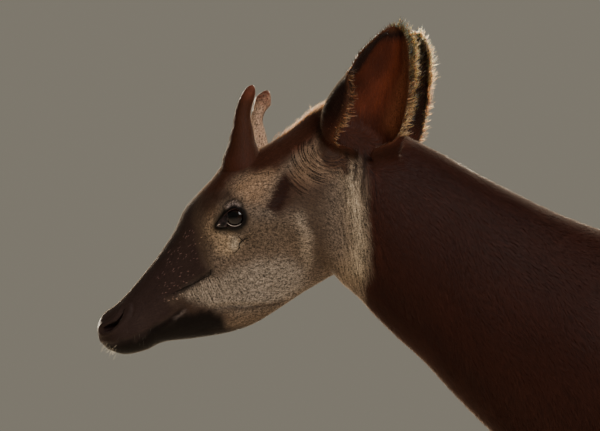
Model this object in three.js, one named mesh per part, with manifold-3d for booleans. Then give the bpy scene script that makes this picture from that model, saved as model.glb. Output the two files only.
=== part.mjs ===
// An okapi, a life-size still model of a grown male that stands square with its head held forward and low.
// Millimetres, +Z up, the tail towards +X and the animal's left side towards -Y. It stands on Z = 0.
// Places are measured from a point on the floor under the withers, and the whole is centred at the end.
import * as THREE from "three";
import { mergeVertices } from "three/addons/utils/BufferGeometryUtils.js";
import Module from "manifold-3d";

const wasm = await Module();
wasm.setup();

// Driving sizes
const GAP = 0.35; // left between pieces that meet
const LEFT = -1;
const RIGHT = 1;

const EYE = { x: -779, out: 79, z: 1586, radius: 21 };
const LID = { thick: 4.5, front: 25, rear: 15, upper: 13, lower: 11, tilt: 22 };
const NOSTRIL = { x: -982, out: 29, z: 1431, halfLength: 18, halfWidth: 3.6, deep: 12, tilt: 42 };
const MOUTH = { groove: 2.6, lip: 6, spread: 5.5, sink: 3.6 };

const HOOF_TOP = 85; // height of the coronet in the middle of the foot
const CORONET_SLOPE = 0.32; // the coronet falls towards the heel
const CLEFT = 4; // between the two hooves of a foot

// How many facets go round each form
const ROUND = { trunk: 28, head: 30, leg: 14, hoof: 12, ossicone: 10, tail: 8, lip: 5 };

// The trunk runs from the nose to the rump as upright slices. Each row is a slice: the back line's x and z,
// the under line's x and z, half the width, the height of the widest place as a share, and how square the
// upper and the lower half are (2 is an ellipse, less is more like a wedge).
const HEAD_SLICES = [
  [-1008, 1419, -1008, 1419, 0, 0.5, 2, 2],
  [-1006, 1427, -1005, 1409, 10, 0.5, 2, 2],
  [-1003, 1435, -999, 1398, 18, 0.5, 2, 2],
  [-995, 1443, -983, 1389, 28, 0.5, 2.1, 2.1],
  [-979, 1455, -963, 1382, 36, 0.46, 2.2, 2.2],
  [-962, 1475, -937, 1387, 39, 0.46, 2.2, 2.2],
  [-946, 1494, -909, 1399, 40, 0.5, 2.1, 2.1],
  [-918, 1528, -860, 1405, 46, 0.56, 2.1, 2],
  [-892, 1566, -810, 1413, 56, 0.6, 2.2, 1.8],
  [-873, 1602, -768, 1427, 70, 0.66, 2.4, 1.65],
  [-854, 1622, -730, 1450, 82, 0.7, 2.5, 1.55],
  [-832, 1644, -693, 1474, 89, 0.7, 2.5, 1.55],
  [-804, 1676, -667, 1489, 91, 0.67, 2.4, 1.6],
  [-758, 1698, -650, 1498, 89, 0.62, 2.3, 1.7],
  [-716, 1723, -643, 1495, 85, 0.58, 2.2, 1.8],
  [-673, 1750, -634, 1485, 82, 0.55, 2.1, 1.9],
  [-632, 1756, -621, 1474, 78, 0.52, 2, 2],
];
const NECK_SLICES = [
  [-586, 1737, -606, 1461, 75, 0.48, 1.9, 2],
  [-533, 1705, -582, 1435, 74, 0.45, 1.8, 2.1],
  [-487, 1681, -551, 1405, 75, 0.42, 1.75, 2.1],
  [-426, 1647, -510, 1368, 79, 0.4, 1.75, 2.1],
  [-366, 1616, -463, 1318, 86, 0.38, 1.75, 2.1],
  [-305, 1587, -411, 1266, 95, 0.38, 1.75, 2.1],
  [-244, 1564, -353, 1207, 107, 0.4, 1.75, 2.1],
  [-168, 1538, -289, 1144, 122, 0.42, 1.75, 2.1],
];
const BODY_SLICES = [
  [-85, 1517, -228, 1070, 140, 0.45, 1.7, 2.1],
  [0, 1503, -150, 965, 165, 0.46, 1.7, 2.1],
  [100, 1488, -45, 893, 192, 0.46, 1.85, 2.1],
  [200, 1474, 75, 866, 213, 0.46, 1.95, 2.1],
  [320, 1460, 215, 852, 226, 0.46, 2, 2.1],
  [440, 1450, 360, 846, 230, 0.46, 2, 2.1],
  [550, 1442, 500, 852, 226, 0.47, 2, 2.1],
  [640, 1432, 620, 872, 212, 0.5, 2.05, 2.1],
  [740, 1420, 715, 908, 190, 0.53, 2.1, 2.1],
  [830, 1392, 800, 955, 166, 0.56, 2.1, 2.1],
  [905, 1345, 880, 1010, 132, 0.58, 2.1, 2.1],
  [960, 1280, 945, 1075, 90, 0.6, 2, 2],
  [985, 1190, 985, 1190, 0, 0.5, 2, 2],
];
const SLICES = [...HEAD_SLICES, ...NECK_SLICES, ...BODY_SLICES];
const HEAD_END = HEAD_SLICES.length - 1;
const NECK_END = HEAD_END + NECK_SLICES.length;
const RUMP = SLICES.length - 1;

// Swellings and hollows of the flanks of the trunk: place, length and width of the swelling, the slope of
// its length in degrees, and how far it stands out.
const SWELLINGS = [
  { x: -780, z: 1588, long: 30, wide: 23, slope: 30, rise: 8 }, // the rim of the eye socket
  { x: -778, z: 1617, long: 26, wide: 9, slope: 30, rise: 6 }, // the brow
  { x: -712, z: 1612, long: 24, wide: 14, slope: 50, rise: -8 }, // the hollow of the temple
  { x: -700, z: 1545, long: 48, wide: 40, slope: 36, rise: 9 }, // the jaw muscle
  { x: -735, z: 1578, long: 50, wide: 9, slope: 30, rise: 5 }, // the cheek bone
  { x: -845, z: 1545, long: 34, wide: 14, slope: 36, rise: -5 }, // the hollow in front of the cheek bone
  { x: -770, z: 1455, long: 60, wide: 8, slope: 20, rise: 5 }, // the edge of the lower jaw
  { x: -640, z: 1700, long: 40, wide: 36, slope: 60, rise: 10 }, // the root of the ear
  { x: -610, z: 1530, long: 26, wide: 70, slope: 0, rise: -7 }, // the throat behind the jaw
  { x: -250, z: 1420, long: 130, wide: 60, slope: -35, rise: 10 }, // the long muscle of the neck
  { x: -10, z: 1360, long: 45, wide: 120, slope: -12, rise: 12 }, // the ridge of the shoulder blade
  { x: 640, z: 1350, long: 70, wide: 60, slope: 0, rise: 16 }, // the point of the hip
  { x: 610, z: 1120, long: 60, wide: 110, slope: 0, rise: -14 }, // the hollow of the flank
];

// A leg is a stack of level slices from the top down. Each row: height, centre x, distance out from the
// middle of the animal, reach to the front, reach to the rear, half the width.
const FORELEG_SLICES = [
  [1265, -40, 100, 60, 60, 24],
  [1230, -46, 112, 90, 90, 40],
  [1150, -56, 124, 118, 112, 54],
  [1060, -56, 132, 122, 122, 62],
  [985, -36, 138, 104, 116, 64],
  [920, -18, 137, 80, 92, 58],
  [850, -12, 132, 62, 64, 50],
  [760, -12, 127, 52, 50, 42],
  [660, -11, 123, 44, 42, 37],
  [590, -11, 121, 40, 40, 36],
  [545, -13, 120, 43, 42, 40],
  [500, -15, 119, 46, 43, 43],
  [458, -13, 118, 41, 44, 39],
  [415, -8, 117, 32, 35, 31],
  [360, -6, 116, 27, 32, 26],
  [280, -6, 116, 25, 31, 24],
  [215, -6, 115, 27, 33, 27],
  [170, -8, 115, 34, 41, 36],
  [130, -20, 115, 30, 33, 31],
  [105, -30, 115, 33, 34, 34],
  [HOOF_TOP, -38, 115, 38, 38, 38],
];
const HINDLEG_SLICES = [
  [1330, 815, 92, 70, 60, 26],
  [1290, 825, 98, 110, 95, 44],
  [1210, 842, 108, 160, 128, 66],
  [1120, 842, 118, 184, 146, 80],
  [1030, 828, 126, 176, 148, 80],
  [950, 816, 130, 150, 140, 70],
  [880, 822, 131, 116, 116, 58],
  [800, 846, 129, 84, 84, 47],
  [720, 878, 127, 62, 60, 39],
  [650, 910, 124, 47, 50, 33],
  [595, 934, 122, 42, 58, 32],
  [552, 944, 121, 43, 58, 34],
  [505, 944, 120, 44, 50, 36],
  [455, 934, 119, 37, 42, 32],
  [400, 927, 118, 30, 36, 27],
  [300, 921, 117, 27, 32, 24],
  [215, 915, 116, 28, 33, 26],
  [170, 909, 116, 33, 40, 34],
  [130, 895, 116, 29, 33, 30],
  [105, 884, 116, 32, 34, 33],
  [HOOF_TOP, 876, 116, 37, 38, 37],
];
// One hoof of the two: height, reach to the front and the rear of the foot's centre, half the width.
const HOOF_SLICES = [
  [HOOF_TOP, 38, 36, 18],
  [60, 46, 40, 20],
  [22, 58, 42, 21.5],
  [6, 62, 42, 22],
  [0, 59, 40, 20.5],
];
// How far each foot stands behind (+) or before (-) the square place, so that the stance is easy.
const STANCE = { foreLeft: -34, foreRight: 36, hindLeft: 62, hindRight: -48 };
const LEAN = { from: 1000, to: 200 }; // a leg takes up its step between these heights

// The ear's level slices from the root up: height, front x, rear x, distance out of its middle, half its
// depth, and how far the rear and the front edge curl round to the outside, in degrees.
const EAR_SLICES = [
  [1652, -616, -558, 38, 14, 80, 78],
  [1672, -628, -546, 47, 19, 80, 76],
  [1692, -640, -536, 67, 30, 70, 64],
  [1718, -650, -525, 82, 40, 46, 60],
  [1748, -652, -517, 89, 43, 28, 58],
  [1778, -636, -513, 92, 41, 14, 44],
  [1804, -615, -513, 92, 36, 6, 12],
  [1830, -600, -515, 91, 28, 0, 2],
  [1846, -588, -518, 89, 21, 0, 0],
  [1860, -570, -524, 87, 13, 0, 0],
  [1870, -554, -532, 86, 6, 0, 0],
  [1875, -546, -538, 85, 2.5, 0, 0],
];
const EAR_WALL = { root: 6, edge: 2.6, rows: 14, columns: 10 };

const OSSICONE_PATH = [
  [-782, 48, 1655, 27],
  [-779, 51, 1688, 24],
  [-776, 54, 1718, 17.5],
  [-773, 57, 1745, 13.5],
  [-767, 60, 1766, 11],
  [-762, 61, 1778, 7.5],
  [-760, 61, 1783, 3],
];

const TAIL_PATH = [
  [940, 1262, 30],
  [975, 1254, 27],
  [1004, 1222, 21],
  [1019, 1170, 16.5],
  [1026, 1105, 13],
  [1027, 1045, 11],
  [1027, 985, 10],
];
// The tuft hangs from the tail's end: its core, and locks in tiers down it, each a given length.
const TUFT = { x: 1027, top: 985, core: 903, radius: 9, spread: 17, around: 6, seed: 7 };
const TUFT_TIERS = [
  { below: 8, long: 112 },
  { below: 30, long: 132 },
  { below: 54, long: 150 },
];
const LOCK = { halfWide: 7.5, halfThick: 1.8, steps: 4, sides: 4 };

// A smooth curve through a list of number rows, at s counted in rows (uniform Catmull-Rom).
function through(rows, s) {
  const i = Math.max(0, Math.min(Math.floor(s), rows.length - 2));
  const t = s - i;
  const [a, b] = [rows[i], rows[i + 1]];
  const before = rows[i - 1] ?? a.map((v, k) => 2 * v - b[k]);
  const after = rows[i + 2] ?? b.map((v, k) => 2 * v - a[k]);
  return a.map((v, k) => {
    const slope = b[k] - before[k];
    const bend = 2 * before[k] - 5 * v + 4 * b[k] - after[k];
    const twist = 3 * v - before[k] - 3 * b[k] + after[k];
    return v + 0.5 * t * (slope + t * (bend + t * twist));
  });
}

// A number raised to a power with its sign kept.
const signed = (v, power) => Math.sign(v) * Math.abs(v) ** power;

// How far the flank stands out at a place because of the swellings.
function swelling(x, z) {
  return SWELLINGS.reduce((sum, b) => {
    const slope = THREE.MathUtils.degToRad(b.slope);
    const along = ((x - b.x) * Math.cos(slope) + (z - b.z) * Math.sin(slope)) / b.long;
    const across = ((z - b.z) * Math.cos(slope) - (x - b.x) * Math.sin(slope)) / b.wide;
    return sum + b.rise * Math.exp(-(along * along + across * across) / 2);
  }, 0);
}

// The point of the trunk's surface at slice s and angle t, counted from the right flank over the back.
function trunkPoint(s, t, grow = 0) {
  const [topX, topZ, underX, underZ, half, level, crown, keel] = through(SLICES, s);
  const tall = Math.hypot(topX - underX, topZ - underZ);
  const [upX, upZ] = tall > 0 ? [(topX - underX) / tall, (topZ - underZ) / tall] : [0, 1];
  const upper = Math.sin(t) > 0;
  const power = 2 / (upper ? crown : keel);
  const reach = (upper ? 1 - level : level) * tall + grow;
  const up = level * tall + signed(Math.sin(t), power) * reach;
  const x = underX + upX * up;
  const z = underZ + upZ * up;
  const flank = Math.abs(Math.cos(t)) ** 1.5;
  const room = Math.min(1, half / 40);
  const out = half + grow + swelling(x, z) * flank * room;
  return new THREE.Vector3(x, signed(Math.cos(t), power) * out, z);
}

// A ring of points at equal steps of an angle.
const ringOf = (count, point) => Array.from({ length: count }, (_, i) => point((i / count) * 2 * Math.PI));

// The closed surface over a list of rings with the same count of points, each end closed to its middle.
function closedTube(rings) {
  const count = rings[0].length;
  const points = rings.flat();
  const faces = [];
  for (let r = 0; r + 1 < rings.length; r++)
    for (let i = 0; i < count; i++) {
      const j = (i + 1) % count;
      const [a, b] = [r * count + i, r * count + j];
      faces.push(a, b, b + count, a, b + count, a + count);
    }
  for (const [start, ring, flip] of [
    [0, rings[0], true],
    [(rings.length - 1) * count, rings.at(-1), false],
  ]) {
    const middle = ring.reduce((sum, p) => sum.add(p), new THREE.Vector3()).divideScalar(count);
    const hub = points.push(middle) - 1;
    for (let i = 0; i < count; i++) {
      const [a, b] = [start + i, start + ((i + 1) % count)];
      faces.push(...(flip ? [hub, b, a] : [hub, a, b]));
    }
  }
  return new THREE.BufferGeometry().setFromPoints(points).setIndex(faces);
}

// A closed three.js geometry as a solid, turned right way out.
function solidOf(geometry) {
  const bare = new THREE.BufferGeometry().setAttribute("position", geometry.getAttribute("position"));
  bare.setIndex(geometry.index);
  const merged = mergeVertices(bare, 1e-3);
  const corners = merged.index.array;
  const triVerts = [];
  for (let i = 0; i < corners.length; i += 3) {
    const [a, b, c] = corners.slice(i, i + 3);
    if (a !== b && b !== c && c !== a) triVerts.push(a, b, c);
  }
  const build = (faces) =>
    new wasm.Manifold(
      new wasm.Mesh({
        numProp: 3,
        vertProperties: new Float32Array(merged.attributes.position.array),
        triVerts: new Uint32Array(faces),
      }),
    );
  const made = build(triVerts);
  if (made.volume() > 0) return made;
  return build(triVerts.reverse());
}

// The largest closed surface of a solid, so that a cut leaves no scraps.
const largest = (solid) =>
  solid.decompose().reduce((best, piece) => (piece.volume() > best.volume() ? piece : best));

// The trunk from slice a to slice b as a closed solid. Its ends are drawn in by the given gaps.
function trunkPart(a, b, steps, round, { grow = 0, gapA = 0, gapB = 0 } = {}) {
  const sliceAt = (s) => ringOf(round, (t) => trunkPoint(s, t, grow));
  const normalAt = (s) => {
    const [topX, topZ, underX, underZ] = through(SLICES, s);
    return new THREE.Vector3(topZ - underZ, 0, underX - topX).normalize();
  };
  const rings = [];
  for (let i = 0; i <= steps; i++) {
    const s = a + ((b - a) * i) / steps;
    rings.push(sliceAt(s));
  }
  if (gapA) rings[0].forEach((p) => p.addScaledVector(normalAt(a), gapA));
  if (gapB) rings.at(-1).forEach((p) => p.addScaledVector(normalAt(b), -gapB));
  return solidOf(closedTube(rings));
}

// The distance out from the middle of the animal to the trunk's flank at a place on its side.
function flankAt(x, z, from = 1, to = HEAD_END) {
  let [low, high] = [from, to];
  const side = (s) => {
    const [topX, topZ, underX, underZ] = through(SLICES, s);
    return (x - underX) * (topZ - underZ) - (z - underZ) * (topX - underX);
  };
  for (let i = 0; i < 40; i++) {
    const middle = (low + high) / 2;
    if (side(middle) > 0) low = middle;
    else high = middle;
  }
  const [topX, topZ, underX, underZ, half, level, crown, keel] = through(SLICES, low);
  const share = Math.hypot(x - underX, z - underZ) / Math.hypot(topX - underX, topZ - underZ);
  const lift = share > level ? (share - level) / (1 - level) : (level - share) / level;
  const power = share > level ? crown : keel;
  const t = Math.min(1, lift);
  return (half + swelling(x, z) * Math.min(1, half / 40)) * (1 - t ** power) ** (1 / power);
}

// A tapering round or flat form along a path of points. Its width at share u is wide(u), its thickness thick(u).
function taper(path, steps, round, wide, thick, across = new THREE.Vector3(0, 1, 0)) {
  const curve = new THREE.CatmullRomCurve3(path, false, "catmullrom", 0.5);
  const rings = [];
  for (let i = 0; i <= steps; i++) {
    const u = i / steps;
    const centre = curve.getPoint(u);
    const ahead = curve.getTangent(u);
    const side = across.clone().addScaledVector(ahead, -across.dot(ahead)).normalize();
    const over = new THREE.Vector3().crossVectors(ahead, side);
    rings.push(
      ringOf(round, (t) =>
        centre
          .clone()
          .addScaledVector(side, Math.cos(t) * wide(u))
          .addScaledVector(over, Math.sin(t) * thick(u)),
      ),
    );
  }
  return solidOf(closedTube(rings));
}

// How far a leg that steps by a given length has moved at height z.
function stepAt(z, step) {
  const t = THREE.MathUtils.clamp((LEAN.from - z) / (LEAN.from - LEAN.to), 0, 1);
  return step * t * t * (3 - 2 * t);
}

// The height of a leg's slice at a distance behind its middle: slices tilt round the coronet.
function tiltedHeight(z, behind) {
  const near = Math.sin(Math.PI * THREE.MathUtils.clamp(z / (2 * HOOF_TOP), 0, 1));
  return z - CORONET_SLOPE * near * behind;
}

// A leg down to the coronet. It is as wide as its rows say, grown by a little on request.
function legSolid(rows, side, step, steps, grow = 0) {
  const rings = [];
  for (let i = 0; i <= steps; i++) {
    const [z, x, out, front, rear, half] = through(rows, ((rows.length - 1) * i) / steps);
    const centreX = x + stepAt(z, step);
    const lift = i === 0 ? grow : i === steps ? -grow : 0;
    rings.push(
      ringOf(ROUND.leg, (t) => {
        const behind = signed(Math.cos(t), 0.92) * ((Math.cos(t) > 0 ? rear : front) + grow);
        const outward = signed(Math.sin(t), 0.92) * (half + grow);
        return new THREE.Vector3(centreX + behind, side * (out + outward), tiltedHeight(z + lift, behind));
      }),
    );
  }
  return solidOf(closedTube(rings));
}

// One of the two hooves of a foot: which is +1 for the outer and -1 for the inner one.
function hoofSolid(legRows, side, step, which) {
  const [, x, out] = legRows.at(-1);
  const rings = HOOF_SLICES.map(([z, front, rear, half], row) =>
    ringOf(ROUND.hoof, (t) => {
      const behind = signed(Math.cos(t), 0.85) * (Math.cos(t) > 0 ? rear : front);
      const toe = Math.max(0, -behind / front);
      const narrow = half * (1 - 0.28 * toe * toe);
      const outward = signed(Math.sin(t), 0.85) * narrow;
      const inset = CLEFT / 2 + half - (half - narrow) * 0.6;
      const level = tiltedHeight(row === 0 ? z - GAP : z, behind);
      return new THREE.Vector3(x + stepAt(z, step) + behind, side * (out + which * inset + outward), level);
    }),
  );
  return solidOf(closedTube(rings));
}

// The wall of an ear as a thin shell: its curled mid-surface, thickened both ways.
function earSolid(side) {
  const { rows, columns } = EAR_WALL;
  const middle = (u, v) => {
    const [z, frontX, rearX, out, deep, curlRear, curlFront] = through(EAR_SLICES, u * (EAR_SLICES.length - 1));
    const from = THREE.MathUtils.degToRad(-curlRear);
    const to = THREE.MathUtils.degToRad(180 + curlFront);
    const angle = from + (to - from) * v;
    const x = (frontX + rearX) / 2 + (Math.cos(angle) * (rearX - frontX)) / 2;
    return new THREE.Vector3(x, side * (out - Math.sin(angle) * deep), z);
  };
  const step = 1e-3;
  const thicknessAt = (u, v) => {
    const fromEdge = Math.min(1, Math.min(v, 1 - v) * 5, (1 - u) * 6);
    return EAR_WALL.edge + (EAR_WALL.root - EAR_WALL.edge) * fromEdge * (1 - 0.4 * u);
  };
  const faces = [];
  const points = [];
  const count = (columns + 1) * (rows + 1);
  for (const face of [0.5, -0.5])
    for (let r = 0; r <= rows; r++)
      for (let c = 0; c <= columns; c++) {
        const [u, v] = [r / rows, c / columns];
        const here = middle(u, v);
        const alongU = middle(Math.min(1, u + step), v).sub(middle(Math.max(0, u - step), v));
        const alongV = middle(u, Math.min(1, v + step)).sub(middle(u, Math.max(0, v - step)));
        const normal = alongU.cross(alongV).normalize();
        points.push(here.addScaledVector(normal, face * thicknessAt(u, v)));
      }
  const at = (r, c) => r * (columns + 1) + c;
  const strip = (a, b) => faces.push(a, b, b + count, a, b + count, a + count);
  for (let r = 0; r < rows; r++)
    for (let c = 0; c < columns; c++) {
      const [a, b, d, e] = [at(r, c), at(r, c + 1), at(r + 1, c + 1), at(r + 1, c)];
      faces.push(a, d, b, a, e, d);
      faces.push(a + count, b + count, d + count, a + count, d + count, e + count);
    }
  for (let c = 0; c < columns; c++) {
    strip(at(0, c), at(0, c + 1));
    strip(at(rows, c + 1), at(rows, c));
  }
  for (let r = 0; r < rows; r++) {
    strip(at(r + 1, 0), at(r, 0));
    strip(at(r, columns), at(r + 1, columns));
  }
  return solidOf(new THREE.BufferGeometry().setFromPoints(points).setIndex(faces));
}

// A ball, stretched along x, y and z, its front tilted down by some degrees and put in place.
function ballAt(x, y, z, [a, b, c], tilt = 0, [across, down] = [12, 8]) {
  const ball = new THREE.SphereGeometry(1, across, down).scale(a, b, c);
  return solidOf(ball.rotateY(-THREE.MathUtils.degToRad(tilt)).translate(x, y, z));
}

// The ball of the eye, grown by a little on request.
function eyeBall(side, grow = 0) {
  const radius = EYE.radius + grow;
  return ballAt(EYE.x, side * EYE.out, EYE.z, [radius, radius, radius], 0, [14, 10]);
}

// The almond between the lids, as a prism that points outwards from the eye. Its front end is the tear corner.
function eyeOpening(side) {
  const { front, rear, upper, lower, tilt } = LID;
  const almond = new THREE.Shape();
  almond.moveTo(-front, -1.5);
  almond.bezierCurveTo(-front * 0.45, 1, -rear * 0.9, upper, 0, upper);
  almond.bezierCurveTo(rear * 0.7, upper, rear, upper * 0.4, rear, 0);
  almond.bezierCurveTo(rear * 0.8, -lower * 0.8, rear * 0.4, -lower, 0, -lower);
  almond.bezierCurveTo(-rear * 0.8, -lower, -front * 0.6, -4, -front, -1.5);
  const prism = new THREE.ExtrudeGeometry(almond, { depth: 60, bevelEnabled: false, curveSegments: 4 });
  prism.rotateX(Math.PI / 2); // the shape's up is now +Z and the prism runs towards -Y
  if (side === RIGHT) prism.translate(0, 60, 0);
  prism.rotateY(-THREE.MathUtils.degToRad(tilt)).translate(EYE.x, side * (EYE.out + 6), EYE.z);
  return solidOf(prism);
}

// The line between the lips seen from the side, from the corner of the mouth to the front, as x and z.
const MOUTH_LINE = [
  [-868, 1452],
  [-885, 1439],
  [-903, 1427],
  [-928, 1415],
  [-954, 1403],
  [-978, 1397],
  [-995, 1396],
];

// The way the skin runs up and forward over the front of the lips, as x and z.
const FRONT_SLOPE = [-0.87, 0.49];

// A cord round the muzzle along the line between the lips or beside it: its radius, how far it lies above
// the line, and how deep its middle lies under the skin.
function lipCord(radius, above, sink) {
  const line = MOUTH_LINE.map(([x, z], i) => {
    const [backX, backZ] = MOUTH_LINE[Math.max(0, i - 1)];
    const [onX, onZ] = MOUTH_LINE[Math.min(MOUTH_LINE.length - 1, i + 1)];
    const long = Math.hypot(onX - backX, onZ - backZ);
    const lift = above * Math.min(1, (i + 0.5) / 2);
    return [x + ((onZ - backZ) / long) * lift, z - ((onX - backX) / long) * lift];
  });
  line.pop();
  const [frontX, frontZ] = MOUTH_LINE.at(-1).map((v, k) => v + above * FRONT_SLOPE[k]);
  const left = line.map(([x, z]) => new THREE.Vector3(x, sink - flankAt(x, z), z));
  const right = left.map((p) => new THREE.Vector3(p.x, -p.y, p.z)).reverse();
  const front = new THREE.Vector3(frontX + sink, 0, frontZ);
  const swell = (u) => radius * (0.3 + 0.7 * Math.sin(Math.PI * u) ** 0.35);
  return taper([...left, front, ...right], 18, ROUND.lip, swell, swell, new THREE.Vector3(0, 0, 1));
}

const headForm = (grow = 0) => trunkPart(0, HEAD_END, 35, ROUND.head, { grow });
const neckForm = (grow = 0) => trunkPart(HEAD_END, NECK_END, 11, ROUND.trunk, { grow, gapA: GAP });
const bodyForm = (grow = 0) => trunkPart(NECK_END, RUMP, 24, ROUND.trunk, { grow, gapA: GAP });

function headSolid() {
  const { groove, lip, spread, sink } = MOUTH;
  let head = headForm();
  head = head.add(lipCord(lip, spread, sink)).add(lipCord(lip * 0.85, -spread, sink));
  head = head.subtract(lipCord(groove, 0, 0));
  for (const side of [LEFT, RIGHT]) {
    const { x, out, z, halfLength, halfWidth, deep, tilt } = NOSTRIL;
    const y = side * out;
    head = head.add(ballAt(x + 2, y * 0.9, z, [halfLength + 5, 9.5, halfWidth + 6], tilt));
    head = head.subtract(ballAt(x, y * 1.2, z, [halfLength, deep, halfWidth], tilt));
    head = head.subtract(ballAt(x - 9, y, z - 6, [7, deep, 6], tilt));
    head = head.add(eyeBall(side, LID.thick)).subtract(eyeBall(side, GAP)).subtract(eyeOpening(side));
  }
  return largest(head);
}

function ossiconeSolid(side, head) {
  const path = OSSICONE_PATH.map(([x, out, z]) => new THREE.Vector3(x, side * out, z));
  const radius = (u) => through(OSSICONE_PATH, u * (OSSICONE_PATH.length - 1))[3];
  return largest(taper(path, 9, ROUND.ossicone, radius, radius).subtract(head));
}

function tailSolid(trunk) {
  const path = TAIL_PATH.map(([x, z]) => new THREE.Vector3(x, 0, z));
  const radius = (u) => through(TAIL_PATH, u * (TAIL_PATH.length - 1))[2];
  return largest(taper(path, 14, ROUND.tail, radius, radius).subtract(trunk));
}

// Numbers between 0 and 1 that look random and are the same every time.
function randomFrom(seed) {
  let state = seed;
  return () => {
    state = (state + 0x6d2b79f5) | 0;
    let mixed = Math.imul(state ^ (state >>> 15), 1 | state);
    mixed = (mixed + Math.imul(mixed ^ (mixed >>> 7), 61 | mixed)) ^ mixed;
    return ((mixed ^ (mixed >>> 14)) >>> 0) / 4294967296;
  };
}

// One flat lock of the tuft. It leaves the core at an angle, swells out, sways a little and hangs to its tip.
function lockSolid(angle, below, long, random) {
  const sway = (random() - 0.5) * 0.7;
  const reach = TUFT.spread * (0.8 + 0.4 * random());
  const places = [
    [0.3, 0],
    [0.75, 0.16],
    [1, 0.42],
    [0.85, 0.72],
    [0.45 + 0.3 * random(), 1],
  ];
  const path = places.map(([out, down]) => {
    const turn = angle + sway * down;
    const away = reach * out;
    const z = TUFT.top - GAP - below - long * down;
    return new THREE.Vector3(TUFT.x + Math.cos(turn) * away, Math.sin(turn) * away, z);
  });
  const across = new THREE.Vector3(-Math.sin(angle), Math.cos(angle), 0);
  const narrow = (u) => (u < 0.35 ? 0.4 + 1.7 * u : 1 - 0.92 * ((u - 0.35) / 0.65) ** 1.3);
  const wide = (u) => LOCK.halfWide * narrow(u);
  const thick = (u) => LOCK.halfThick * (0.25 + 0.75 * narrow(u));
  return taper(path, LOCK.steps, LOCK.sides, wide, thick, across);
}

// The tuft of the tail: a short core and tiers of locks that overlap and hang past it.
function tuftSolid() {
  const random = randomFrom(TUFT.seed);
  const path = [TUFT.top - GAP, 960, 930, TUFT.core].map((z) => new THREE.Vector3(TUFT.x, 0, z));
  const radius = (u) => TUFT.radius * (1 - 0.7 * u * u);
  let tuft = taper(path, 6, ROUND.tail, radius, radius);
  TUFT_TIERS.forEach(({ below, long }, tier) => {
    for (let i = 0; i < TUFT.around; i++) {
      const angle = ((i + 0.5 * (tier % 2) + 0.3 * (random() - 0.5)) / TUFT.around) * 2 * Math.PI;
      tuft = tuft.add(lockSolid(angle, below, long * (0.9 + 0.2 * random()), random));
    }
  });
  return largest(tuft);
}

const COAT = { color: 0x2c1711, roughness: 0.75, metalness: 0 };
const MATERIALS = {
  coat: new THREE.MeshStandardMaterial(COAT),
  face: new THREE.MeshStandardMaterial({ ...COAT, color: 0x6b5546 }),
  ear: new THREE.MeshStandardMaterial({ ...COAT, color: 0x3a1c12 }),
  leg: new THREE.MeshStandardMaterial({ ...COAT, color: 0x8a7a68 }),
  hoof: new THREE.MeshStandardMaterial({ color: 0x231d1a, roughness: 0.5, metalness: 0 }),
  horn: new THREE.MeshStandardMaterial({ ...COAT, color: 0x3d2419 }),
  eye: new THREE.MeshStandardMaterial({ color: 0x0a0706, roughness: 0.05, metalness: 0 }),
};

const okapi = new THREE.Group();

function place(name, solid, material) {
  const { vertProperties, triVerts } = solid.getMesh();
  const geometry = new THREE.BufferGeometry();
  geometry.setAttribute("position", new THREE.BufferAttribute(vertProperties, 3));
  geometry.setIndex([...triVerts]);
  const mesh = new THREE.Mesh(geometry, material);
  mesh.name = name;
  okapi.add(mesh);
}

const LEGS = [
  { name: "foreleg_left", rows: FORELEG_SLICES, side: LEFT, step: STANCE.foreLeft },
  { name: "foreleg_right", rows: FORELEG_SLICES, side: RIGHT, step: STANCE.foreRight },
  { name: "hindleg_left", rows: HINDLEG_SLICES, side: LEFT, step: STANCE.hindLeft },
  { name: "hindleg_right", rows: HINDLEG_SLICES, side: RIGHT, step: STANCE.hindRight },
];
const LEG_STEPS = 26;

const crown = headForm(GAP).add(neckForm(GAP));
place("head", headSolid(), MATERIALS.face);
place("neck", neckForm(), MATERIALS.coat);

let torso = bodyForm();
for (const { name, rows, side, step } of LEGS) {
  torso = torso.subtract(legSolid(rows, side, step, LEG_STEPS, GAP));
  place(name, legSolid(rows, side, step, LEG_STEPS), MATERIALS.leg);
  place(name.replace("leg", "hoof") + "_outer", hoofSolid(rows, side, step, 1), MATERIALS.hoof);
  place(name.replace("leg", "hoof") + "_inner", hoofSolid(rows, side, step, -1), MATERIALS.hoof);
}
place("torso", largest(torso), MATERIALS.coat);
place("tail", tailSolid(bodyForm(GAP)), MATERIALS.coat);
place("tail_tuft", tuftSolid(), MATERIALS.coat);

for (const [side, word] of [
  [LEFT, "left"],
  [RIGHT, "right"],
]) {
  place("ear_" + word, largest(earSolid(side).subtract(crown)), MATERIALS.ear);
  place("ossicone_" + word, ossiconeSolid(side, crown), MATERIALS.horn);
  place("eye_" + word, eyeBall(side), MATERIALS.eye);
}

const box = new THREE.Box3().setFromObject(okapi);
okapi.position.x = -(box.min.x + box.max.x) / 2;

export default okapi;
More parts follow.
